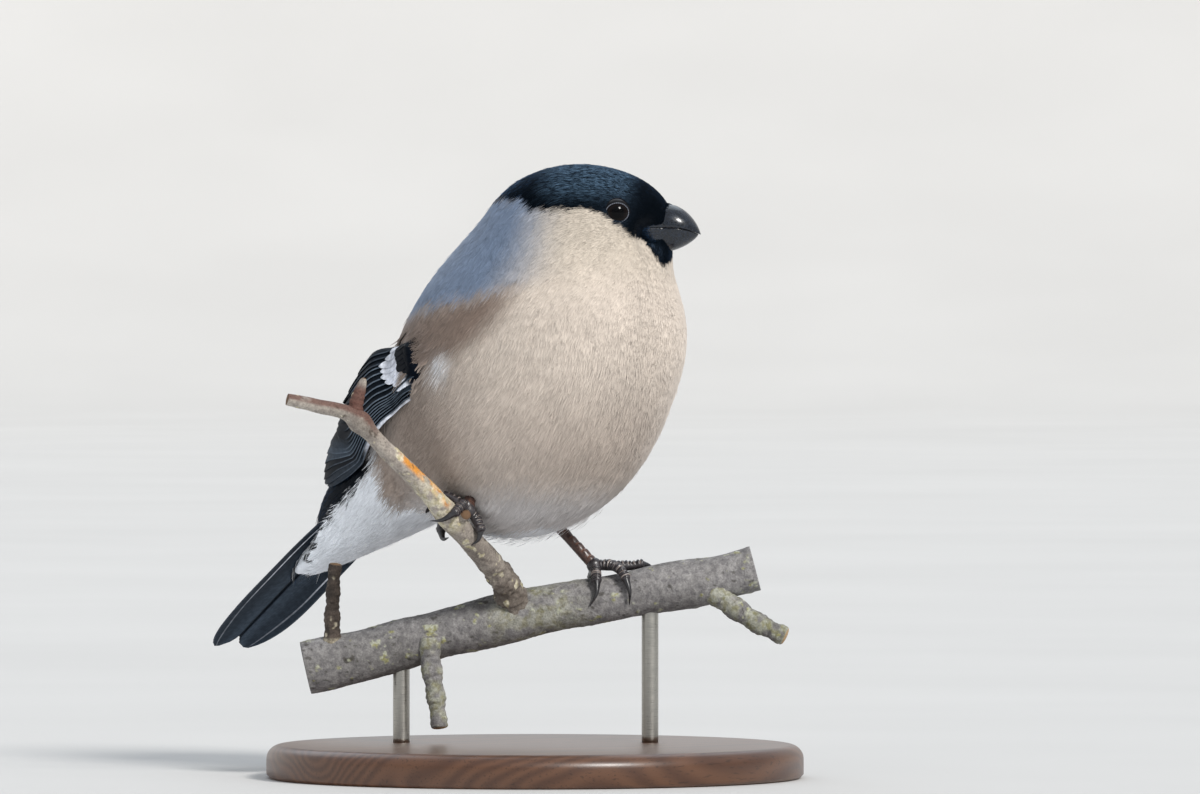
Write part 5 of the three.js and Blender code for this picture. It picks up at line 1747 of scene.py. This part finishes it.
def toe(pad, path, radius_at, stops, claw):
    """A toe with its claw: two limbs, the claw a curved cone with a keel on its upper side."""
    set_down = lambda radius, all_stops: [
        over_bark(path, radius_at, q, angle, TOUCH + radius + extra)
        for q, angle, extra in all_stops]
    points = [pad, *set_down(TOE_RADIUS, stops)]
    length = sum(np.linalg.norm(b - a) for a, b in zip(points, points[1:]))
    out = unit(points[1] - curve(path, np.array([stops[0][0]]))[0])
    knuckle = lambda q: TOE_RADIUS * (1.0 - 0.14 * q + 0.07 * np.cos(q * KNUCKLES))
    plates = scutes(length, TOE_SCUTE, 0.26)
    flesh = limb(points, knuckle, 110, 28, plates, first=out, caps=(0.6, 0.5))
    claw_points = [points[-1] - 0.3 * unit(points[-1] - points[-2]), *set_down(0.35, claw)]
    out = unit(points[-1] - curve(path, np.array([stops[-1][0]]))[0])
    from_top = lambda angle: np.minimum(angle, 2 * math.pi - angle)
    keel = lambda places, q, angle: 0.12 * (1 - q) * np.exp(-((from_top(angle) / 0.5) ** 2))
    tapering = lambda q: mix(0.92, 0.08, q**0.8)
    horn = limb(claw_points, tapering, 44, 20, keel, first=out, caps=(0, 0.6))
    return flesh, horn


def leg_material(name, dark, pale, groove):
    """Scaly skin: plates of one colour, a paler line between them, dry and slightly glossy."""
    material, tree, shader = new_material(name, Specular_IOR_Level=0.75)
    spots = noise(tree, 1500, 3.0)
    shade = mixed(tree, between(tree, spots, 0.35, 0.7), colour(dark), colour(pale))
    shade = mixed(tree, attribute(tree, "edge"), shade, colour(groove))
    wire(tree, shader, Base_Color=shade, Normal=bumped(tree, spots, 0.3, 0.00008),
         Roughness=between(tree, spots, 0.3, 0.7, 0.26, 0.48))
    return material


TOE_SKIN = leg_material("toe skin", "1c191b", "353034", "968b84")
SHANK_SKIN = leg_material("shank skin", "2c1c18", "4d3126", "6b4c3f")
CLAW = leg_material("claw horn", "0f0e10", "1f1e22", "1f1e22")


def edge_of(values, length, every):
    """1 in the groove between two plates."""
    phase = (values["along"] * length / every) % 1
    groove = ease(phase, 0.84, 0.95) + 1 - ease(phase, 0.0, 0.08)
    return groove * ease(np.cos(values["angle"]), -0.3, 0.3)


def add_foot(name, pad, heel, thigh, path, radius_at, *toes):
    """Shank, pad with toes, and claws, as three pieces."""
    pad, heel, thigh = on_perch(*pad), on_perch(*heel), on_perch(*thigh)
    flesh, horns, edges = [], [], []
    for stops, claw in toes:
        skin, horn = toe(pad, path, radius_at, stops, claw)
        flesh.append(skin[0])
        edges.append(edge_of(skin[1], TOE_LENGTH, TOE_SCUTE))
        horns.append(horn[0])
    sole, _ = ball(pad, unit(heel - pad), PAD_RADIUS, 20, 32)
    flesh.append(sole)
    edges.append(np.zeros(len(sole[0])))
    add_piece(f"foot_{name}_skin", together(flesh), TOE_SKIN, "leg_skin",
              {"edge": np.concatenate(edges)}, replaces=(f"foot_{name}",))
    claws = together(horns)
    add_piece(f"foot_{name}_claws", claws, CLAW, "bill_horn", {"edge": np.zeros(len(claws[0]))})
    radius = lambda q: TARSUS_RADIUS * (0.95 + 0.3 * np.abs(q - 0.45))
    length = np.linalg.norm(heel - pad) + np.linalg.norm(thigh - heel)
    shape, values = limb([pad, heel, thigh], radius, 160, 36, scutes(length, SHANK_SCUTE, 0.13),
                         first=-HEAD_BACK, caps=(0.3, 0.3))
    add_piece(f"leg_{name}_skin", shape, SHANK_SKIN, "leg_skin",
              {"edge": edge_of(values, length, SHANK_SCUTE)}, replaces=(f"leg_{name}",))


for name, sizes in FEET.items():
    add_foot(name, *sizes)

# %% [markdown]
# ## The display stand
# A turned base of dark wood and two satin steel rods hold the branch, as in a museum case. The base
# is a profile swept round; its grain is rings of a trunk cut lengthwise, so they run as long
# streaks across the top.

# %% Stand
BASE_RADIUS, BASE_THICKNESS, ROD_RADIUS = 56, 7, 1.75
FLOOR = -TRUNK_HEIGHT


def swept_round(profile, sides):
    """Rings of (radius, height) pairs swept round the upright line through the trunk's middle."""
    turn = np.linspace(0, 2 * math.pi, sides, endpoint=False)
    flat = profile[:, :1, None] * np.stack([np.cos(turn), np.sin(turn)], -1)
    height = np.broadcast_to(profile[:, 1:, None], (*flat.shape[:2], 1))
    return np.concatenate([flat, height], -1)


def base_profile():
    """From the middle of the underside round the moulded edge to the middle of the top."""
    q = np.linspace(0, math.pi / 2, 14)
    low = [(10, 0), (BASE_RADIUS - 2, 0), (BASE_RADIUS - 0.6, 0.25), (BASE_RADIUS, 0.9),
           (BASE_RADIUS, BASE_THICKNESS - 3.2)]
    round_edge = np.stack([BASE_RADIUS - 3 + 3 * np.cos(q), BASE_THICKNESS - 3 + 3 * np.sin(q)], -1)
    profile = np.concatenate([low, round_edge, [(30, BASE_THICKNESS), (2, BASE_THICKNESS)]])
    return profile + (0, FLOOR)


def wood_material():
    """Dark stained wood under a thin satin lacquer: long rings, short pores and a soft shine."""
    material, tree, shader = new_material("base wood", Roughness=0.38, Specular_IOR_Level=0.45,
                                          Coat_Weight=0.2, Coat_Roughness=0.25)
    along = stretched(tree, (0.12, 1.0, 1.0), 45)
    bent = noise(tree, 26, 1.5, along)
    rings = arithmetic(tree, "SINE", arithmetic(tree, "MULTIPLY", bent, 170.0))
    pores = noise(tree, 2400, 2.0, along)
    shade = mixed(tree, between(tree, rings, -1, 1), colour("452c1e"), colour("573a28"))
    shade = mixed(tree, between(tree, pores, 0.58, 0.72, 0.0, 0.7), shade, colour("23150d"))
    wire(tree, shader, Base_Color=shade, Normal=bumped(tree, pores, 0.15, 0.0001))
    return material


def steel_material():
    """Satin steel, brushed round the rod."""
    material, tree, shader = new_material("rod steel", Metallic=1.0)
    brushed = noise(tree, 500, 3.0, stretched(tree, (1.0, 1.0, 14.0)))
    shade = mixed(tree, brushed, colour("8f8d88"), colour("c3c0b8"))
    wire(tree, shader, Base_Color=shade, Roughness=between(tree, brushed, 0.3, 0.7, 0.26, 0.42))
    return material


WOOD, STEEL = wood_material(), steel_material()
add_piece("stand_base_wood", tube(swept_round(base_profile(), 192)), WOOD, "stand_wood",
          replaces=("stand_base",))
for name, across in (("stand_rod_rear", -28), ("stand_rod_front", 24)):
    foot = on_perch(across, BRANCH_DEEP, FLOOR + BASE_THICKNESS)
    share = (across - BRANCH_REAR) / (BRANCH_FRONT - BRANCH_REAR)
    top = curve(BRANCH_PATH, np.array([share]))[0, 2] - 1.0  # inside the branch
    shape, _ = limb([foot, (foot + (*foot[:2], top)) / 2, (*foot[:2], top)],
                    lambda q: ROD_RADIUS + 0 * q, 24, 48, first=(1, 0, 0))
    add_piece(name + "_steel", shape, STEEL, "stand_rod", replaces=(name,))

# %% [markdown]
# ## Camera, light and floor
# The photograph was taken from the bird's right front, level with it, through a long lens, so the
# camera stands 3 m off with a narrow view. The key light is a sun lamp as wide as a studio softbox,
# from the upper right: unlike a near lamp it lights the bird, the floor and the backdrop alike. The
# pale surroundings fill the shade. A weak cool light from behind and above draws the back's edge,
# and one from below, as from a bright floor, keeps the belly pale.

# %% Camera, lights, floor
CAMERA_TURN, CAMERA_RISE = math.radians(-45), math.radians(1)
FRAME_WIDTH = 250  # millimetres seen across the picture
CAMERA_FAR = 3000
AIM = np.array([13.54 * math.cos(CAMERA_TURN), 13.54 * math.sin(CAMERA_TURN), -4.6])


def placed(obj, place, aim):
    """Links an object at a place in trunk millimetres and turns it to look at its aim."""
    obj.location = Vector((place + TRUNK_HEIGHT * UP) * MM)
    obj.rotation_euler = Vector(aim - place).to_track_quat("-Z", "Y").to_euler()
    bpy.context.scene.collection.objects.link(obj)
    return obj


towards_camera = np.array([
    math.sin(CAMERA_TURN) * math.cos(CAMERA_RISE),
    -math.cos(CAMERA_TURN) * math.cos(CAMERA_RISE),
    math.sin(CAMERA_RISE),
])
lens = bpy.data.cameras.new("camera")
lens.sensor_width = 36
lens.lens = 36 * CAMERA_FAR / FRAME_WIDTH
lens.clip_start, lens.clip_end = 0.1, 50
camera = placed(bpy.data.objects.new("camera", lens), AIM + towards_camera * CAMERA_FAR, AIM)
bpy.context.scene.camera = camera


def soft_light(name, right, up, near, wide, strength, tint):
    """A sun lamp as many degrees wide as given, its place told in the camera's directions."""
    lamp = bpy.data.lights.new(name, "SUN")
    lamp.angle, lamp.energy, lamp.color = math.radians(wide), strength, tint
    across = np.array([math.cos(CAMERA_TURN), math.sin(CAMERA_TURN), 0])
    place = across * right + UP * up + towards_camera * near
    placed(bpy.data.objects.new(name, lamp), place, np.zeros(3))


soft_light("key", 950, 1150, 1350, 14, 3.3, (1.0, 0.975, 0.94))
soft_light("sky", -200, 1300, -1000, 60, 0.9, (0.78, 0.90, 1.0))
soft_light("from the floor", -300, -800, 800, 80, 1.8, (0.88, 0.94, 1.0))

world = bpy.data.worlds.new("studio")
world.use_nodes = True
backdrop = world.node_tree.nodes["Background"].inputs
backdrop["Color"].default_value, backdrop["Strength"].default_value = colour("dfe3ea"), 0.82
bpy.context.scene.view_settings.view_transform = "Standard"
bpy.context.scene.world = world

floor_material, tree, shader = new_material("studio floor", Roughness=0.9)
clouds = between(tree, noise(tree, 6, 2.0), 0.3, 0.7)
wire(tree, shader, Base_Color=mixed(tree, clouds, colour("bdbcba"), colour("c1c0be")))
FLAT, CURVE, WALL = 4000, 1500, 2400  # the floor is flat, curves up and ends as a wall, all round
FLOOR_SIDES = 128
bend = np.linspace(0, math.pi / 2, 24)[1:]
rising = np.stack([FLAT + CURVE * np.sin(bend), CURVE * (1 - np.cos(bend))], -1)
floor_profile = np.concatenate([[(60, 0), (FLAT, 0)], rising, [(FLAT + CURVE, WALL)]])
rings = swept_round(floor_profile, FLOOR_SIDES)
row, column = np.meshgrid(np.arange(len(rings) - 1), np.arange(FLOOR_SIDES), indexing="ij")
cell = lambda r, c: r * FLOOR_SIDES + c % FLOOR_SIDES
corners = cell(row, column), cell(row, column + 1), cell(row + 1, column + 1), cell(row + 1, column)
walls = np.stack(corners, -1).reshape(-1, 4).tolist()
middle = list(range(FLOOR_SIDES - 1, -1, -1))
floor_mesh = bpy.data.meshes.new("floor")
floor_mesh.from_pydata((rings.reshape(-1, 3) * MM).tolist(), [], walls + [middle])
floor_mesh.polygons.foreach_set("use_smooth", np.ones(len(floor_mesh.polygons), bool))
floor_mesh.materials.append(floor_material)
floor = bpy.data.objects.new("floor", floor_mesh)
bpy.context.scene.collection.objects.link(floor)
floor.visible_shadow = False  # so the weak light from below reaches the bird
